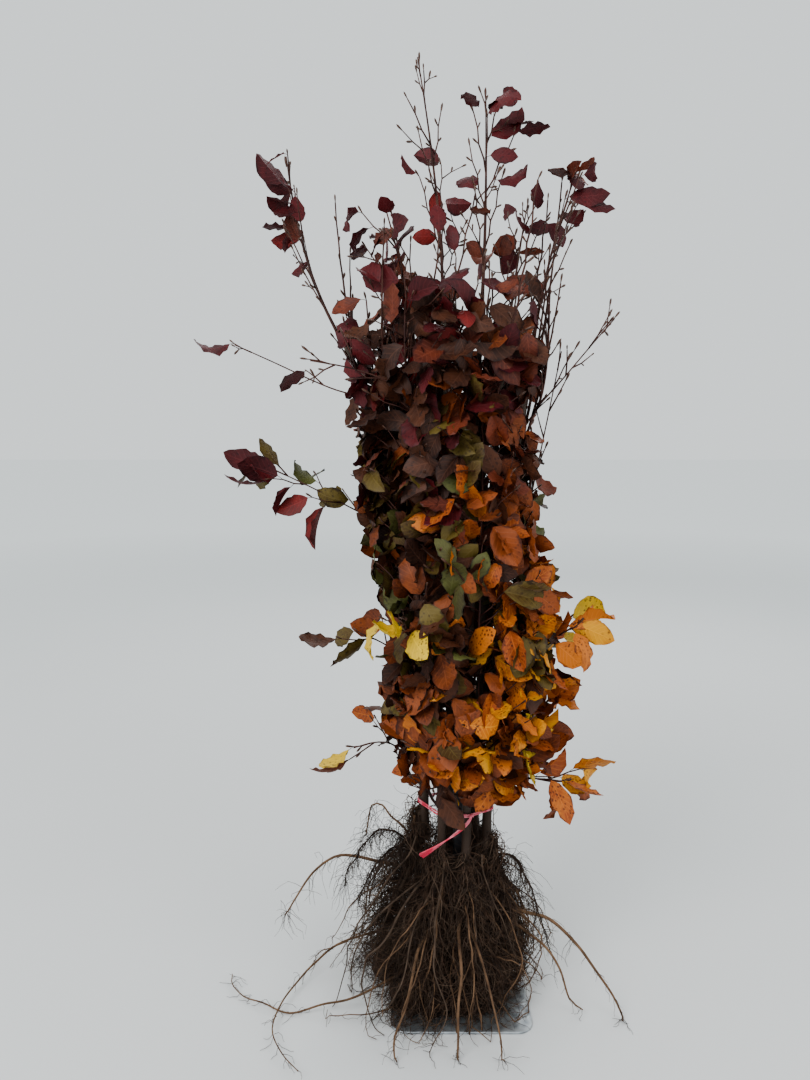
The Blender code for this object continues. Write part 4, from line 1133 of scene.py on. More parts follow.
class Finish:
    """A material's nodes, added one at a time and joined to the shader."""

    def __init__(self, name, roughness, metallic=0.0, specular=0.5):
        self.material = bpy.data.materials.new(name)
        self.material.use_nodes = True
        self.tree = self.material.node_tree
        self.shader = self.tree.nodes["Principled BSDF"]
        self.shader.inputs["Roughness"].default_value = roughness
        self.shader.inputs["Metallic"].default_value = metallic
        self.shader.inputs["Specular IOR Level"].default_value = specular
        self.place = self.node("ShaderNodeTexCoord").outputs["Object"]

    def node(self, kind, **settings):
        return adjusted(self.tree.nodes.new(kind), **settings)

    def join(self, source, target):
        self.tree.links.new(source, target)

    def pattern(self, made, stretch, **amounts):
        """Sets a pattern's amounts, and lays it on the piece, stretched or not."""
        for key, amount in amounts.items():
            made.inputs[key].default_value = amount
        place = self.place
        if stretch:
            mapping = self.node("ShaderNodeMapping")
            mapping.inputs["Scale"].default_value = stretch
            self.join(place, mapping.inputs["Vector"])
            place = mapping.outputs["Vector"]
        self.join(place, made.inputs["Vector"])

    def noise(self, scale, detail, roughness=0.55, stretch=None):
        made = self.node("ShaderNodeTexNoise")
        self.pattern(made, stretch, Scale=scale, Detail=detail, Roughness=roughness)
        return made.outputs["Fac"]

    def cells(self, scale, stretch=None):
        made = self.node("ShaderNodeTexVoronoi")
        self.pattern(made, stretch, Scale=scale)
        return made.outputs["Distance"]

    def ramp(self, value, zero, one):
        """From 0 to 1, as the value goes from zero to one."""
        made = self.node("ShaderNodeValToRGB")
        for element, (where, amount) in zip(made.color_ramp.elements, sorted(((zero, 0.0), (one, 1.0)))):
            element.position = where
            element.color = (amount, amount, amount, 1)
        self.join(value, made.inputs["Fac"])
        return made.outputs["Color"]

    def blend(self, factor, first, second):
        """A colour between two, each a colour or another node's output."""
        made = self.node("ShaderNodeMix", data_type="RGBA")
        self.join(factor, made.inputs["Factor"])
        for socket, value in (("A", first), ("B", second)):
            entry = next(s for s in made.inputs if s.name == socket and s.type == "RGBA")
            if isinstance(value, tuple):
                entry.default_value = (*value, 1)
            else:
                self.join(value, entry)
        return next(s for s in made.outputs if s.type == "RGBA")

    def two_tone(self, value, zero, one, first, second):
        """The first colour where the value is at zero, and the second where it is at one."""
        return self.blend(self.ramp(value, zero, one), first, second)

    def maths(self, operation, first, second):
        made = self.node("ShaderNodeMath", operation=operation)
        for entry, value in zip(made.inputs, (first, second)):
            if isinstance(value, (int, float)):
                entry.default_value = value
            else:
                self.join(value, entry)
        return made.outputs["Value"]

    def plus(self, first, second):
        return self.maths("ADD", first, second)

    def minus(self, first, second):
        return self.maths("SUBTRACT", first, second)

    def times(self, first, second):
        return self.maths("MULTIPLY", first, second)

    def parts(self, place):
        """The X, Y and Z of a place."""
        split = self.node("ShaderNodeSeparateXYZ")
        self.join(place, split.inputs["Vector"])
        return split.outputs

    def leaf_map(self):
        """The distance from the midrib, from 0 to 1, and the way along the leaf."""
        parts = self.parts(self.node("ShaderNodeTexCoord").outputs["UV"])
        across = self.minus(self.times(parts["X"], 2.0), 1.0)
        return self.maths("ABSOLUTE", across, 0.0), parts["Y"]

    def colour(self, value):
        self.join(value, self.shader.inputs["Base Color"])

    def bump(self, value, strength, distance):
        made = self.node("ShaderNodeBump")
        made.inputs["Strength"].default_value = strength
        made.inputs["Distance"].default_value = distance
        self.join(value, made.inputs["Height"])
        self.join(made.outputs["Normal"], self.shader.inputs["Normal"])


def leaf_finish(name, face, tone, vein, spots, roughness):
    """A leaf's finish: two tones from leaf to leaf, paler veins, brown spots and a broken brown edge."""
    made = Finish(name, roughness, specular=0.32)
    across, along = made.leaf_map()
    own_shade = made.node("ShaderNodeAttribute", attribute_name="shade").outputs["Fac"]
    shade = made.plus(own_shade, made.times(made.minus(made.noise(34, 3.0), 0.5), 2.2))
    colour = made.two_tone(shade, 0.15, 0.85, face, tone)

    side_veins = made.minus(made.times(along, 7.5), made.times(across, 1.9))
    ribs = made.ramp(made.maths("PINGPONG", side_veins, 0.5), 0.17, 0.02)
    midrib = made.ramp(across, 0.07, 0.02)
    veins = made.maths("MAXIMUM", made.times(ribs, 0.6), midrib)
    paler = tuple(min(1.0, value * 1.25 + 0.012) for value in face)
    colour = made.blend(made.times(veins, vein), colour, paler)

    brown = (tone[0] * 0.30, tone[1] * 0.28, tone[2] * 0.5)
    spotted = made.times(made.ramp(made.cells(170), 0.42, 0.20), made.ramp(made.noise(24, 2.0), 0.40, 0.52))
    colour = made.blend(made.times(spotted, spots), colour, brown)
    edge = made.plus(made.times(across, 0.6), made.times(made.noise(52, 3.0), 0.7))
    made.colour(made.blend(made.times(made.ramp(edge, 0.86, 0.98), 0.8), colour, brown))
    made.bump(made.plus(veins, made.times(made.noise(140, 3.0), 0.5)), 0.35, 0.0008)
    return made.material


def bark_finish():
    """Smooth young bark: grey-brown, with small pale pores across it, and darker towards its foot."""
    made = Finish("young bark", 0.6, specular=0.3)
    tones = made.noise(26, 5.0, stretch=(1, 1, 0.22))
    colour = made.two_tone(tones, 0.3, 0.7, (0.050, 0.034, 0.025), (0.130, 0.102, 0.080))
    pores = made.ramp(made.cells(260, (1, 1, 1.9)), 0.22, 0.10)
    colour = made.blend(made.times(pores, 0.5), colour, (0.28, 0.235, 0.185))
    height = made.parts(made.place)["Z"]
    # Darker towards the foot: the bark is blended to a dark brown below about 0.36 to 0.5 m
    lower_darkening = made.ramp(made.plus(height, made.times(made.noise(40, 4.0), 0.12)), 0.50, 0.36)
    made.colour(made.blend(made.times(lower_darkening, 0.88), colour, (0.036, 0.021, 0.014)))
    grain = made.noise(180, 4.0, stretch=(1, 1, 0.3))
    made.bump(made.plus(made.times(pores, 0.6), grain), 0.5, 0.0009)
    return made.material


def twig_finish():
    made = Finish("twig bark", 0.55, specular=0.25)
    tones = made.noise(38, 3.0)
    made.colour(made.two_tone(tones, 0.35, 0.65, (0.032, 0.011, 0.009), (0.082, 0.032, 0.023)))
    made.bump(made.noise(420, 2.0), 0.4, 0.0004)
    return made.material


def bud_finish():
    made = Finish("bud scales", 0.4, specular=0.45)
    scales = made.cells(420)
    made.colour(made.two_tone(scales, 0.2, 0.6, (0.115, 0.048, 0.026), (0.050, 0.022, 0.014)))
    made.bump(scales, 0.4, 0.0004)
    return made.material


def root_finish(name, dark, pale, roughness=0.85):
    made = Finish(name, roughness, specular=0.2)
    made.colour(made.two_tone(made.noise(45, 5.0), 0.32, 0.68, dark, pale))
    made.bump(made.noise(260, 4.0), 0.6, 0.0012)
    return made.material


def twine_finish():
    """Split plastic twine: pink-red, glossy, with paler lines along it."""
    made = Finish("twine", 0.35, specular=0.5)
    lines = made.noise(130, 3.0, stretch=(0.25, 1.0, 0.5))
    made.colour(made.two_tone(lines, 0.42, 0.66, (0.62, 0.035, 0.075), (0.86, 0.30, 0.36)))
    made.bump(lines, 0.5, 0.0008)
    return made.material


def plate_finish():
    """Galvanised steel: dull spangles, scuffs, and soil rubbed into the middle."""
    made = Finish("galvanised plate", 0.42, metallic=0.85)
    colour = made.two_tone(made.cells(70), 0.1, 0.7, (0.27, 0.30, 0.33), (0.54, 0.58, 0.61))
    stain = made.ramp(made.noise(9, 6.0, 0.65), 0.42, 0.62)
    made.colour(made.blend(made.times(stain, 0.35), colour, (0.15, 0.12, 0.09)))
    scuffs = made.plus(made.times(made.noise(34, 5.0), 0.3), 0.24)
    made.join(scuffs, made.shader.inputs["Roughness"])
    made.bump(made.noise(150, 3.0), 0.15, 0.0006)
    return made.material


def post_finish():
    """Near-black paint on steel, rubbed grey in places."""
    made = Finish("post paint", 0.45, specular=0.5)
    worn = made.noise(60, 6.0, 0.7)
    made.colour(made.two_tone(worn, 0.60, 0.70, (0.018, 0.018, 0.021), (0.10, 0.10, 0.105)))
    made.bump(made.noise(240, 3.0), 0.25, 0.0005)
    return made.material


def floor_finish():
    """Pale and plain, and painted paler far away, where the lamps light it less, so that it meets the sky's
    brightness at the horizon.
    """
    made = Finish("pale floor", 0.95, specular=0.0)
    away = made.node("ShaderNodeVectorMath", operation="LENGTH")
    made.join(made.place, away.inputs[0])
    far = made.maths("DIVIDE", away.outputs["Value"], 12.0)
    near = made.blend(made.noise(1.2, 2.0), (0.60, 0.61, 0.61), (0.63, 0.64, 0.64))
    # Painted brightness: the floor turns paler with distance, to match the sky where the lamps no longer
    # reach
    made.colour(made.two_tone(far, 0.08, 0.6, near, (0.93, 0.95, 0.95)))
    return made.material


def dress(obj, finishes, slot, *nodes):
    """Gives a finished piece its materials, and hides the nodes that it stands for. The slot is not used."""
    obj.data.materials.clear()
    for material in finishes:
        obj.data.materials.append(material)
    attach(obj, "root")
    if nodes:
        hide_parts(*nodes)


def make_stem(sapling, path, bark):
    """A stem with swellings where shoots leave it, a fluted foot and the bark's fine relief."""
    rng = random.Random(sapling.name + " bark")
    points, radii = rounded(*path, STEM_SPACING)
    knots = [shoot_path(sapling, tier, path)[0].z for tier in range(len(TIER_NAMES))]
    knots += [rng.uniform(points[0].z + OLD_KNOTS_FROM, points[-1].z) for _ in range(OLD_KNOTS)]
    girths = []
    for point, radius in zip(points, radii):
        swell = sum(exp(-(((point.z - knot) / KNOT_HEIGHT) ** 2)) for knot in knots)
        girths.append(radius * (1 + KNOT_SWELL * min(1.0, swell)))
    stem = tubes("bark_" + sapling.name, [(points, girths)], STEM_SIDES)
    relief = adjusted(bpy.data.textures.new("relief", "CLOUDS"), noise_scale=RELIEF_GRAIN, noise_depth=3)
    raised = stem.modifiers.new("relief", "DISPLACE")
    adjusted(raised, texture=relief, texture_coords="GLOBAL", strength=RELIEF_DEPTH, mid_level=RELIEF_MIDDLE)
    apply_modifiers(stem)
    for vert in stem.data.vertices:
        low = max(0.0, 1 - (vert.co.z - sapling.collar) / FLUTES_TOP)
        away = vert.co - polar(sapling.side, sapling.foot, vert.co.z)
        turn = atan2(away.y, away.x)
        vert.co += away * (FLUTE_DEPTH * low**2 * sin(turn * FLUTES + sapling.side))
    dress(stem, [bark], "bark", "stem_" + sapling.name)


def over_plate(point):
    return abs(point.x) < PLATE_WIDTH / 2 + PLATE_MARGIN and abs(point.y) < PLATE_DEPTH / 2 + PLATE_MARGIN


def rest_height(point, radius, clearance=ROOT_CLEARANCE):
    """The lowest that a root of this radius can lie here."""
    return radius + (PLATE_THICKNESS if over_plate(point) else clearance)


def long_root_path(root, start):
    """A long root: it leaves start, arches or sags, and comes down to its tip at an even sweep."""
    points = [start]
    for k in range(1, LONG_ROOT_RINGS + 1):
        t = k / LONG_ROOT_RINGS
        fall = min(1.0, t * LONG_ROOT_FALL)
        height = mix((root.start, root.end), fall**LONG_ROOT_FALL_POWER) + root.arch * sin(pi * fall)
        reach = mix((root.near, root.far), sin(pi / 2 * t) ** LONG_ROOT_REACH_POWER)
        point = polar(root.azimuth + root.sweep * t, reach, height)
        point.z = max(point.z, rest_height(point, root.radius, GROUND_CLEARANCE))
        points.append(point)
    return points


def crinkled(points, radii, rng, amount):
    """The line with each point but the first pushed aside a little, more towards the tip."""
    last = len(points) - 1
    found = [points[0]]
    for k in range(1, last + 1):
        point = points[k] + any_way(rng, amount) * mix((0.4, 1), k / last)
        point.z = max(point.z, rest_height(point, radii[k]))
        found.append(point)
    return found


def rootlets(points, rng, into, count, lengths, droop):
    """Fine roots that branch off a root on all sides, curl and droop."""
    low, high = ROOTLET_LIMITS
    for _ in range(count):
        k = rng.randrange(1, len(points))
        base = points[k - 1].lerp(points[k], rng.random())
        step = mix(lengths, rng.random() ** 1.5) / (len(ROOTLET_RADII) - 1)
        way = (points[k] - points[k - 1]).normalized() * 0.5 + any_way(rng, 1)
        line = [base]
        for radius in ROOTLET_RADII[1:]:
            way = (way.normalized() + any_way(rng, ROOTLET_STRAY) - UP * droop).normalized()
            point = line[-1] + way * step
            point.x = min(max(point.x, low.x), high.x)
            point.y = min(max(point.y, low.y), high.y)
            point.z = max(point.z, rest_height(point, radius))
            line.append(point)
        into.append((line, ROOTLET_RADII))


def mat_limit(sapling, height):
    """How far from the clump's axis a sapling's fibres reach at that height."""
    mat = MATS[sapling.name]
    share = clamp((height - PLATE_THICKNESS) / (sapling.collar - PLATE_THICKNESS))
    tucked = 1 - mat.tuck * max(0.0, 1 - height / MAT_TUCK_HEIGHT)
    return (sapling.foot + MAT_TOP_REACH + (mat.reach - sapling.foot) * (1 - share**MAT_SHOULDER)) * tucked


def fibre(sapling, start, turn, rng, steps, step, stray, reach=1.0):
    """A fibre that wanders down and outwards through the mat, and lies along the ground where it meets it."""
    way = polar(turn, rng.uniform(*FIBRE_OUTWARD), rng.uniform(*FIBRE_RISE)).normalized()
    line = [start]
    for _ in range(steps):
        way = (way + any_way(rng, stray) - UP * FIBRE_DROOP).normalized()
        point = line[-1] + way * step
        outward = outward_at(point)
        if point.xy.length > mat_limit(sapling, point.z) * reach:
            way = (way - outward * 0.75 - UP * 0.45).normalized()
            point = line[-1] + way * step
        floor = rest_height(point, FIBRE_RADIUS)
        if point.z < floor:
            point.z = floor + rng.random() * FIBRE_PILE
            way = Vector((way.x, way.y, abs(way.z) * 0.3)).normalized()
        line.append(point)
    return line


def hanging_root(sapling, turn, rng):
    """A root that comes down over the outside of the mat, and runs out over the plate or past its edge."""
    top = sapling.collar + rng.uniform(*HANGING_TOP_RISE)
    drift = rng.uniform(-HANGING_DRIFT, HANGING_DRIFT)
    wave = rng.uniform(0, 6)
    spread = rng.uniform(*HANGING_REACH)
    run_out = rng.uniform(*HANGING_RUN_OUT)
    if sapling.name in ("right", "rear_right"):
        run_out *= HANGING_SHORT_SIDE
    line = []
    for k in range(HANGING_POINTS):
        t = k / (HANGING_POINTS - 1)
        height = mix((top, PLATE_THICKNESS), min(1.0, t * HANGING_FALL))
        reach = mat_limit(sapling, height) * mix((HANGING_TOP_REACH, spread), min(1.0, t * 2))
        reach += run_out * max(0.0, t - 0.75) * 4
        azimuth = turn + drift * t + HANGING_WAVE * sin(wave + t * 6) + rng.uniform(-2, 2)
        point = polar(azimuth, reach + rng.uniform(-HANGING_KINK, HANGING_KINK), height)
        point.z = max(point.z, rest_height(point, HANGING_REST_RADIUS))
        line.append(point)
    return line


def turn_of(sapling, spread, share):
    """A turn about a sapling, in degrees, between -spread and spread of its own side."""
    return sapling.side + mix((-spread, spread), share)


class Roots:
    """The lines of one sapling's roots after another, kept by the look of their bark."""

    def __init__(self):
        self.stout, self.tan, self.dark, self.brown, self.fine = [], [], [], [], []

    def any_fibres(self, rng):
        return rng.choice((self.dark, self.brown, self.fine))

    def grow(self, sapling):
        """A sapling's roots, from its collar down."""
        rng = random.Random("roots " + sapling.name)
        top = polar(sapling.side, sapling.foot, sapling.collar - SEAT_GAP)
        end_height = PLATE_THICKNESS + TAPROOT_END_HEIGHT
        tap_end = polar(sapling.side, sapling.foot + TAPROOT_LEAN, end_height)
        width = MATS[sapling.name].reach - sapling.foot
        girth = sapling.girth * FLARE
        self.grow_stout(sapling, rng, top, width, girth)
        self.grow_long(sapling, rng, top, tap_end)
        self.grow_hanging(sapling, rng)
        self.grow_trailing(sapling, rng, top, tap_end, girth)
        self.grow_fibres(sapling, rng, top, tap_end, width, girth)
        self.grow_collar_fibres(sapling, rng, top, girth)

    def grow_stout(self, sapling, rng, top, width, girth):
        for k in range(STOUT_ROOTS):
            turn = turn_of(sapling, STOUT_SPREAD, (k + 0.5) / STOUT_ROOTS)
            turn += rng.uniform(-STOUT_STRAY, STOUT_STRAY)
            inner = top + polar(turn, girth * 0.5, rng.uniform(*STOUT_START_LIFT))
            spread = sapling.foot + width * rng.uniform(*STOUT_REACH)
            height = PLATE_THICKNESS + rng.uniform(*STOUT_END_HEIGHT)
            end = polar(mix((sapling.side, turn), 0.6), spread, height)
            lead = polar(turn, STOUT_LEAD, rng.uniform(*STOUT_LEAD_RISE))
            line = sweep(inner, lead, end, STOUT_RINGS)
            radii = even_radii((girth * rng.uniform(*STOUT_GIRTH_SHARE), STOUT_TIP_RADIUS), line)
            line = crinkled(line, radii, rng, STOUT_KINK)
            self.stout.append(rounded(line, radii, ROOT_SPACING))
            rootlets(line, rng, self.any_fibres(rng), *STOUT_ROOTLETS)

    def grow_long(self, sapling, rng, top, tap_end):
        for root in LONG_ROOTS[sapling.name]:
            share = min(LONG_ROOT_FROM[1], max(LONG_ROOT_FROM[0], 1 - root.start / top.z))
            line = long_root_path(root, (top - UP * VERTICAL_START).lerp(tap_end, share))
            radii = even_radii([root.radius * taper for taper in LONG_ROOT_TAPER], line)
            line[1:] = [point + any_way(rng, LONG_ROOT_KINK) for point in line[1:]]
            for point, radius in zip(line, radii):
                point.z = max(point.z, rest_height(point, radius))
            self.tan.append(rounded(line, radii, LONG_ROOT_SPACING))
            hung = LIFTED_ROOTLETS if root.end > LIFTED_ROOT_HEIGHT else LONG_ROOTLETS
            rootlets(line, rng, self.dark, *hung)

    def grow_hanging(self, sapling, rng):
        for k in range(HANGING_ROOTS):
            turn = turn_of(sapling, HANGING_SPREAD, (k + rng.random()) / HANGING_ROOTS)
            line = hanging_root(sapling, turn, rng)
            radii = even_radii((rng.uniform(*HANGING_RADIUS), HANGING_TIP_RADIUS), line)
            line, radii = rounded(line, radii, HANGING_SPACING)
            into = self.tan if rng.random() < 0.5 else self.stout
            into.append((line, radii))
            rootlets(line, rng, into, *HANGING_ROOTLETS)

    def grow_trailing(self, sapling, rng, top, tap_end, girth):
        """Tan roots that leave the mat low down and trail over the ground."""
        for k in range(TRAILING_ROOTS):
            turn = turn_of(sapling, TRAILING_SPREAD, (k + rng.random()) / TRAILING_ROOTS)
            start = top.lerp(tap_end, rng.uniform(*TRAILING_FROM)) + polar(turn, girth + TRAILING_OUT, 0)
            step = rng.uniform(*TRAILING_STEP)
            line = fibre(sapling, start, turn, rng, steps=15, step=step, stray=0.32, reach=1.35)
            ends = (rng.uniform(*TRAILING_RADIUS), TRAILING_TIP_RADIUS)
            self.tan.append((line, even_radii(ends, line)))
            rootlets(line, rng, self.fine, *TRAILING_ROOTLETS)

    def grow_fibres(self, sapling, rng, top, tap_end, width, girth):
        """The mat itself: some fibres are loose, and stand out of it."""
        for k in range(FIBRES):
            turn = turn_of(sapling, FIBRE_SPREAD, k * GOLDEN_SHARE % 1.0)
            turn += rng.uniform(-FIBRE_STRAY, FIBRE_STRAY)
            share = rng.random() * 1.3 - 0.30
            start = top.lerp(tap_end, share)
            start += polar(turn, girth * 0.6 + width * 0.42 * max(0.0, share), 0)
            reach = LOOSE_FIBRE_REACH if rng.random() < LOOSE_FIBRE_SHARE else 1.0
            step = rng.uniform(*FIBRE_STEP)
            line = fibre(sapling, start, turn, rng, steps=8, step=step, stray=0.62, reach=reach)
            radii = even_radii((rng.uniform(*FIBRE_FOOT_RADIUS), FIBRE_TIP_RADIUS), line)
            into = self.any_fibres(rng)
            into.append((line, radii))
            rootlets(line, rng, into, *FIBRE_ROOTLETS)

    def grow_collar_fibres(self, sapling, rng, top, girth):
        """A tangle round the collar, which hides where the stem meets its roots."""
        for _ in range(COLLAR_FIBRES):
            turn = rng.uniform(0, 360)
            start = top + polar(turn, girth * 0.7, rng.uniform(*COLLAR_FIBRE_LIFT))
            step = rng.uniform(*COLLAR_FIBRE_STEP)
            line = fibre(sapling, start, turn, rng, steps=6, step=step, stray=0.8)
            radii = even_radii((rng.uniform(*COLLAR_FIBRE_RADIUS), FIBRE_TIP_RADIUS), line)
            into = self.any_fibres(rng)
            into.append((line, radii))
            rootlets(line, rng, into, *COLLAR_ROOTLETS)

    def grow_dark(self):
        """The dark roots that arch out of the mass, hung with fine rootlets."""
        for k, (start, lead, end) in enumerate(DARK_ROOTS):
            rng = random.Random(f"dark root {k}")
            line = sweep(Vector(start), Vector(lead), Vector(end), DARK_ROOT_RINGS)
            radii = even_radii(DARK_ROOT_RADIUS, line)
            line = crinkled(line, radii, rng, DARK_ROOT_KINK)
            self.dark.append(rounded(line, radii, ROOT_SPACING))
            rootlets(line, rng, self.dark, *DARK_ROOTLETS)


def make_root_core(sapling, finish):
    """The dense inside of a root mass, which shows dark between the fibres."""
    reach = MATS[sapling.name].reach
    top = sapling.collar - CORE_TOP_DROP
    depth = top - PLATE_THICKNESS
    bpy.ops.mesh.primitive_cone_add(
        vertices=CORE_SIDES,
        radius1=reach * CORE_RADIUS_SHARE,
        radius2=CORE_TOP_RADIUS,
        depth=depth,
        end_fill_type="NGON",
    )
    middle = polar(sapling.side, sapling.foot * CORE_PLACE_SHARE, 0)
    core = named("root_core_" + sapling.name, location=middle + UP * ((top + PLATE_THICKNESS) / 2))
    with editing(core):
        height = PLATE_THICKNESS
        while height < top - CORE_TOP_RADIUS:
            height += CORE_RING
            ring_cut((0, 0, height), (0, 0, 1))
    lean = polar(sapling.side, reach * CORE_LEAN_SHARE, 0)
    for vert in core.data.vertices:
        share = max(0.0, 1 - (vert.co.z - PLATE_THICKNESS) / depth)
        away = vert.co - Vector((middle.x, middle.y, vert.co.z))
        turn = atan2(away.y, away.x)
        grain = noise.noise(Vector((cos(turn) * 5, sin(turn) * 5, vert.co.z * 9)) + middle * 40)
        flute = CORE_FLUTE_DEPTH * sin(turn * CORE_FLUTES + sapling.side)
        vert.co += away * (CORE_GRAIN * grain * share + flute)
        vert.co += lean * (share**CORE_LEAN_POWER)
    smooth(core)
    dress(core, [finish], "root_bark", "roots_" + sapling.name)


def hull_2d(points):
    """The outline round some points, anticlockwise."""
    points = sorted(points)

    def half(order):
        line = []
        for p in order:
            while len(line) > 1:
                (ax, ay), (bx, by) = line[-2:]
                if (bx - ax) * (p[1] - ay) - (by - ay) * (p[0] - ax) > 0:
                    break
                line.pop()
            line.append(p)
        return line[:-1]

    return half(points) + half(reversed(points))


def knot_loop(middle, ahead, turn, size):
    """One loop of the knot: a little more than a full turn, drawn out sideways as it goes."""
    across = Vector((-ahead.y, ahead.x, 0))
    flat = across * cos(turn) + UP * sin(turn)
    loop = []
    for k in range(KNOT_POINTS):
        angle = 2 * pi * k / (KNOT_POINTS - 1) * KNOT_WRAP
        point = middle + flat * (size * cos(angle)) + ahead * (size * KNOT_FLAT * sin(angle))
        loop.append(point + flat.cross(ahead) * (k - KNOT_POINTS // 2) * KNOT_PITCH)
    return loop, [TWINE_GIRTH] * len(loop)


def tail_strand(tail, strand):
    """One strand of the twine's loose end: side by side they make a flat strip that twists and widens."""
    side = TAIL_DROP.normalized().cross(FRONT).normalized()
    middle = (TAIL_STRANDS - 1) / 2
    share = (strand - middle) / middle
    line = []
    radii = []
    for k, point in enumerate(tail):
        t = k / (len(tail) - 1)
        twist = mix(TAIL_TWIST, t)
        offset = share * mix(TAIL_HALF_WIDTH, t**1.3)
        line.append(point + side * (offset * cos(twist)) + FRONT * (offset * sin(twist) * TAIL_FLAT))
        radii.append(TAIL_GIRTH + TAIL_UNEVEN * cos(strand * 2.1 + k))
    line[-1] = line[-2].lerp(line[-1], 1 + 0.10 * sin(strand * 2.7))
    return line, radii


def make_twine(paths, finish):
    """Flat split twine: two turns round the stems, a knot at the front, and a loose end that frays."""
    ring = []
    for path in paths.values():
        centre, _, radius = along_stem(path, TWINE_HEIGHT)
        for k in range(TWINE_CORNERS):
            angle = 2 * pi * k / TWINE_CORNERS
            reach = radius + TWINE_CLEARANCE
            ring.append((centre.x + reach * cos(angle), centre.y + reach * sin(angle)))
    outline = [Vector((x, y, TWINE_HEIGHT)) for x, y in hull_2d(ring)]
    turns = []
    for lift, slope in TWINE_TURNS:
        line = [p + UP * (lift + slope * (p.x + p.y)) for p in outline]
        turns.append((line, [TWINE_GIRTH + TWINE_UNEVEN * sin(k * 1.7) for k in range(len(line))]))
    band = tubes("twine_turns", turns, 7, cyclic=True)
    ahead = polar(KNOT_AZIMUTH, 1, 0)
    knot = max(outline, key=lambda point: point.dot(ahead)) + ahead * KNOT_DEPTH
    tail = sweep(knot, TAIL_LEAD, knot + TAIL_DROP, TAIL_RINGS)
    ends = [knot_loop(knot, ahead, turn, size) for turn, size in KNOT_LOOPS]
    ends += [tail_strand(tail, strand) for strand in range(TAIL_STRANDS)]
    loose = tubes("twine_ends", ends, 6)
    only(band)
    loose.select_set(True)
    bpy.ops.object.join()
    band.name = "tied_twine"
    dress(band, [finish], "twine", "twine")


def rise_of(edge):
    return abs(edge.verts[0].co.z - edge.verts[1].co.z)


def on_rim(edge):
    """Whether a level edge lies between the plate's flat and its side."""
    return rise_of(edge) < 1e-6 and not all(abs(face.normal.z) > 0.5 for face in edge.link_faces)


def make_plate(finish):
    """The flat plate, with round corners and a rounded rim."""
    bpy.ops.mesh.primitive_cube_add(size=1, location=(0, 0, PLATE_THICKNESS / 2))
    plate = named("ground_plate", scale=(PLATE_WIDTH, PLATE_DEPTH, PLATE_THICKNESS))
    with editing(plate):
        pick(plate, lambda edge: rise_of(edge) > PLATE_THICKNESS / 2, "edges")
        bpy.ops.mesh.bevel(offset=PLATE_CORNER, segments=10, affect="EDGES")
        pick(plate, on_rim, "edges")
        bpy.ops.mesh.bevel(offset=PLATE_RIM, segments=3, affect="EDGES")
    smooth(plate, 40)
    dress(plate, [finish], "plate_steel", "stand_plate")


def make_post(finish):
    """The square post, standing on the plate, with a capped top and rounded edges."""
    bpy.ops.mesh.primitive_cube_add(size=1, location=(0, 0, (POST_TOP + PLATE_THICKNESS) / 2))
    post = named("square_post", scale=(POST_SIDE, POST_SIDE, POST_TOP - PLATE_THICKNESS))
    with editing(post):
        pick(post, lambda face: face.normal.z > 0.5, "faces")
        bpy.ops.mesh.inset(thickness=POST_CAP_EDGE)
        bpy.ops.transform.translate(value=(0, 0, -POST_CAP_DEPTH))
        pick(post, lambda edge: rise_of(edge) > 0.1, "edges")
        bpy.ops.mesh.bevel(offset=POST_EDGE, segments=3, affect="EDGES")
    smooth(post, 40)
    dress(post, [finish], "post_paint", "stand_post")


def make_leaves(growth, crown_nodes):
    """One piece for each tint, of the leaf models in turn."""
    models = [model_leaf(shape) for shape in LEAF_SHAPES]
    rng = random.Random("leaf models")
    for name, tint in TINTS.items():
        places = growth.leaves[name]
        rng.shuffle(places)
        leaves = scatter("leaves_" + name, models, places)
        smooth(leaves, 50)
        back_tone = tuple(value * BACK_TONE for value in tint.back)
        finishes = [
            leaf_finish(name + " leaf", tint.face, tint.tone, vein=0.5, spots=tint.spots, roughness=0.58),
            leaf_finish(name + " leaf back", tint.back, back_tone, vein=0.3, spots=0.2, roughness=0.62),
        ]
        stands_for = [
            part["node"]
            for part in frame["record"]["subparts"]
            if part["material_slot"] == tint.slot and part["node"] in crown_nodes
        ]
        dress(leaves, finishes, tint.slot, *stands_for)
    for model in models:
        bpy.data.objects.remove(model)


def make_twigs(growth, crown_nodes):
    """The twigs, the leaves' stalks and the buds."""
    twigs = tubes("twigs", growth.twigs, 6)
    dress(twigs, [twig_finish()], "bark", *crown_nodes)
    stalks = tubes("leaf_stalks", growth.stalks, 3)
    dress(stalks, [twig_finish()], "bark")
    bud = model_bud()
    buds = scatter("buds", [bud], growth.buds)
    smooth(buds)
    dress(buds, [bud_finish()], "bark")
    bpy.data.objects.remove(bud)


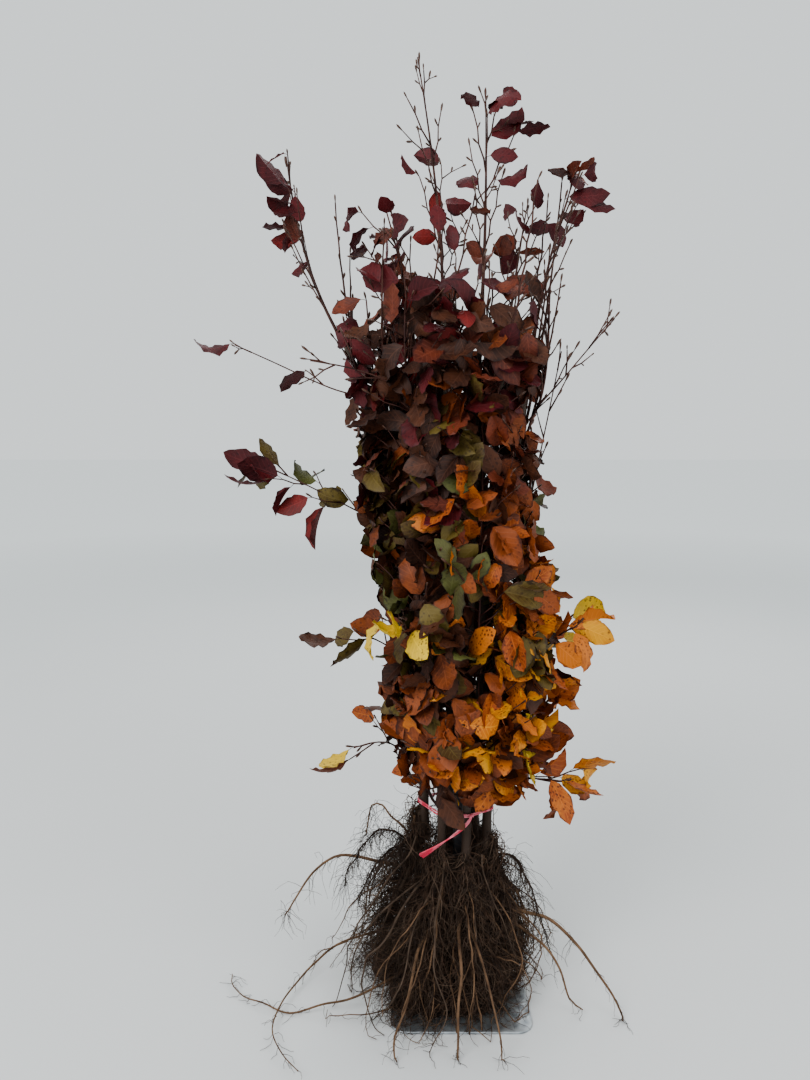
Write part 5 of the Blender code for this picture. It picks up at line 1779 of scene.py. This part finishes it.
def make_roots():
    """The roots of all the saplings, a piece for each look of bark, and a core for each sapling."""
    roots = Roots()
    for sapling in SAPLINGS:
        roots.grow(sapling)
    roots.grow_dark()
    core_finish = root_finish("packed roots", (0.020, 0.012, 0.009), (0.055, 0.033, 0.023), 0.95)
    for sapling in SAPLINGS:
        make_root_core(sapling, core_finish)
    for name, lines, sides, darkest, palest in (
        ("stout_roots", roots.stout, 8, (0.042, 0.028, 0.020), (0.105, 0.072, 0.052)),
        ("long_roots", roots.tan, 6, (0.075, 0.043, 0.026), (0.190, 0.115, 0.068)),
        ("dark_fibres", roots.dark, 3, (0.024, 0.016, 0.013), (0.068, 0.046, 0.035)),
        ("brown_fibres", roots.brown, 3, (0.050, 0.033, 0.024), (0.140, 0.095, 0.068)),
        ("red_brown_fibres", roots.fine, 3, (0.045, 0.026, 0.018), (0.115, 0.070, 0.048)),
    ):
        dress(tubes(name, lines, sides), [root_finish(name + " bark", darkest, palest)], "root_bark")


def make_floor():
    bpy.ops.mesh.primitive_plane_add(size=FLOOR_SIZE, location=(0, 0, -FLOOR_DROP))
    floor = adjusted(bpy.context.active_object, name="floor")
    floor.data.materials.append(floor_finish())


def light_studio():
    world = bpy.data.worlds.new("studio")
    world.use_nodes = True
    sky = world.node_tree.nodes["Background"]
    sky.inputs["Color"].default_value = SKY
    sky.inputs["Strength"].default_value = 1.0
    bpy.context.scene.world = world
    for name, place, size, power in LAMPS:
        bpy.ops.object.light_add(type="AREA", location=place)
        turn = (LIT_MIDDLE - Vector(place)).to_track_quat("-Z", "Y").to_euler()
        lamp = adjusted(bpy.context.active_object, name=name, rotation_euler=turn)
        adjusted(lamp.data, size=size, energy=power)
    bpy.context.scene.view_settings.look = "AgX - Medium High Contrast"


def set_camera():
    bpy.ops.object.camera_add(location=EYE)
    camera = adjusted(bpy.context.active_object, rotation_euler=(radians(90 - EYE_PITCH), 0, 0))
    adjusted(camera.data, sensor_width=SENSOR, lens=LENS)
    bpy.context.scene.camera = camera


def main():
    bpy.ops.object.select_all(action="DESELECT")
    paths = {sapling.name: stem_path(sapling) for sapling in SAPLINGS}
    growth = Growth()
    for sapling in SAPLINGS:
        path = paths[sapling.name]
        grow_leader(growth, sapling, path)
        grow_whips(growth, sapling, path)
        for tier in range(len(TIER_NAMES)):
            grow_side_shoot(growth, sapling, tier, path)

    bark = bark_finish()
    for sapling in SAPLINGS:
        make_stem(sapling, paths[sapling.name], bark)
    crown_nodes = [node for node in sorted(frame["nodes"]) if node.startswith(("foliage_", "leader_"))]
    make_twigs(growth, crown_nodes)
    make_leaves(growth, crown_nodes)
    make_roots()
    make_twine(paths, twine_finish())
    make_plate(plate_finish())
    make_post(post_finish())
    for helper in [obj for obj in bpy.data.objects if obj.name.startswith("section_")]:
        bpy.data.objects.remove(helper)

    make_floor()
    light_studio()
    set_camera()


main()
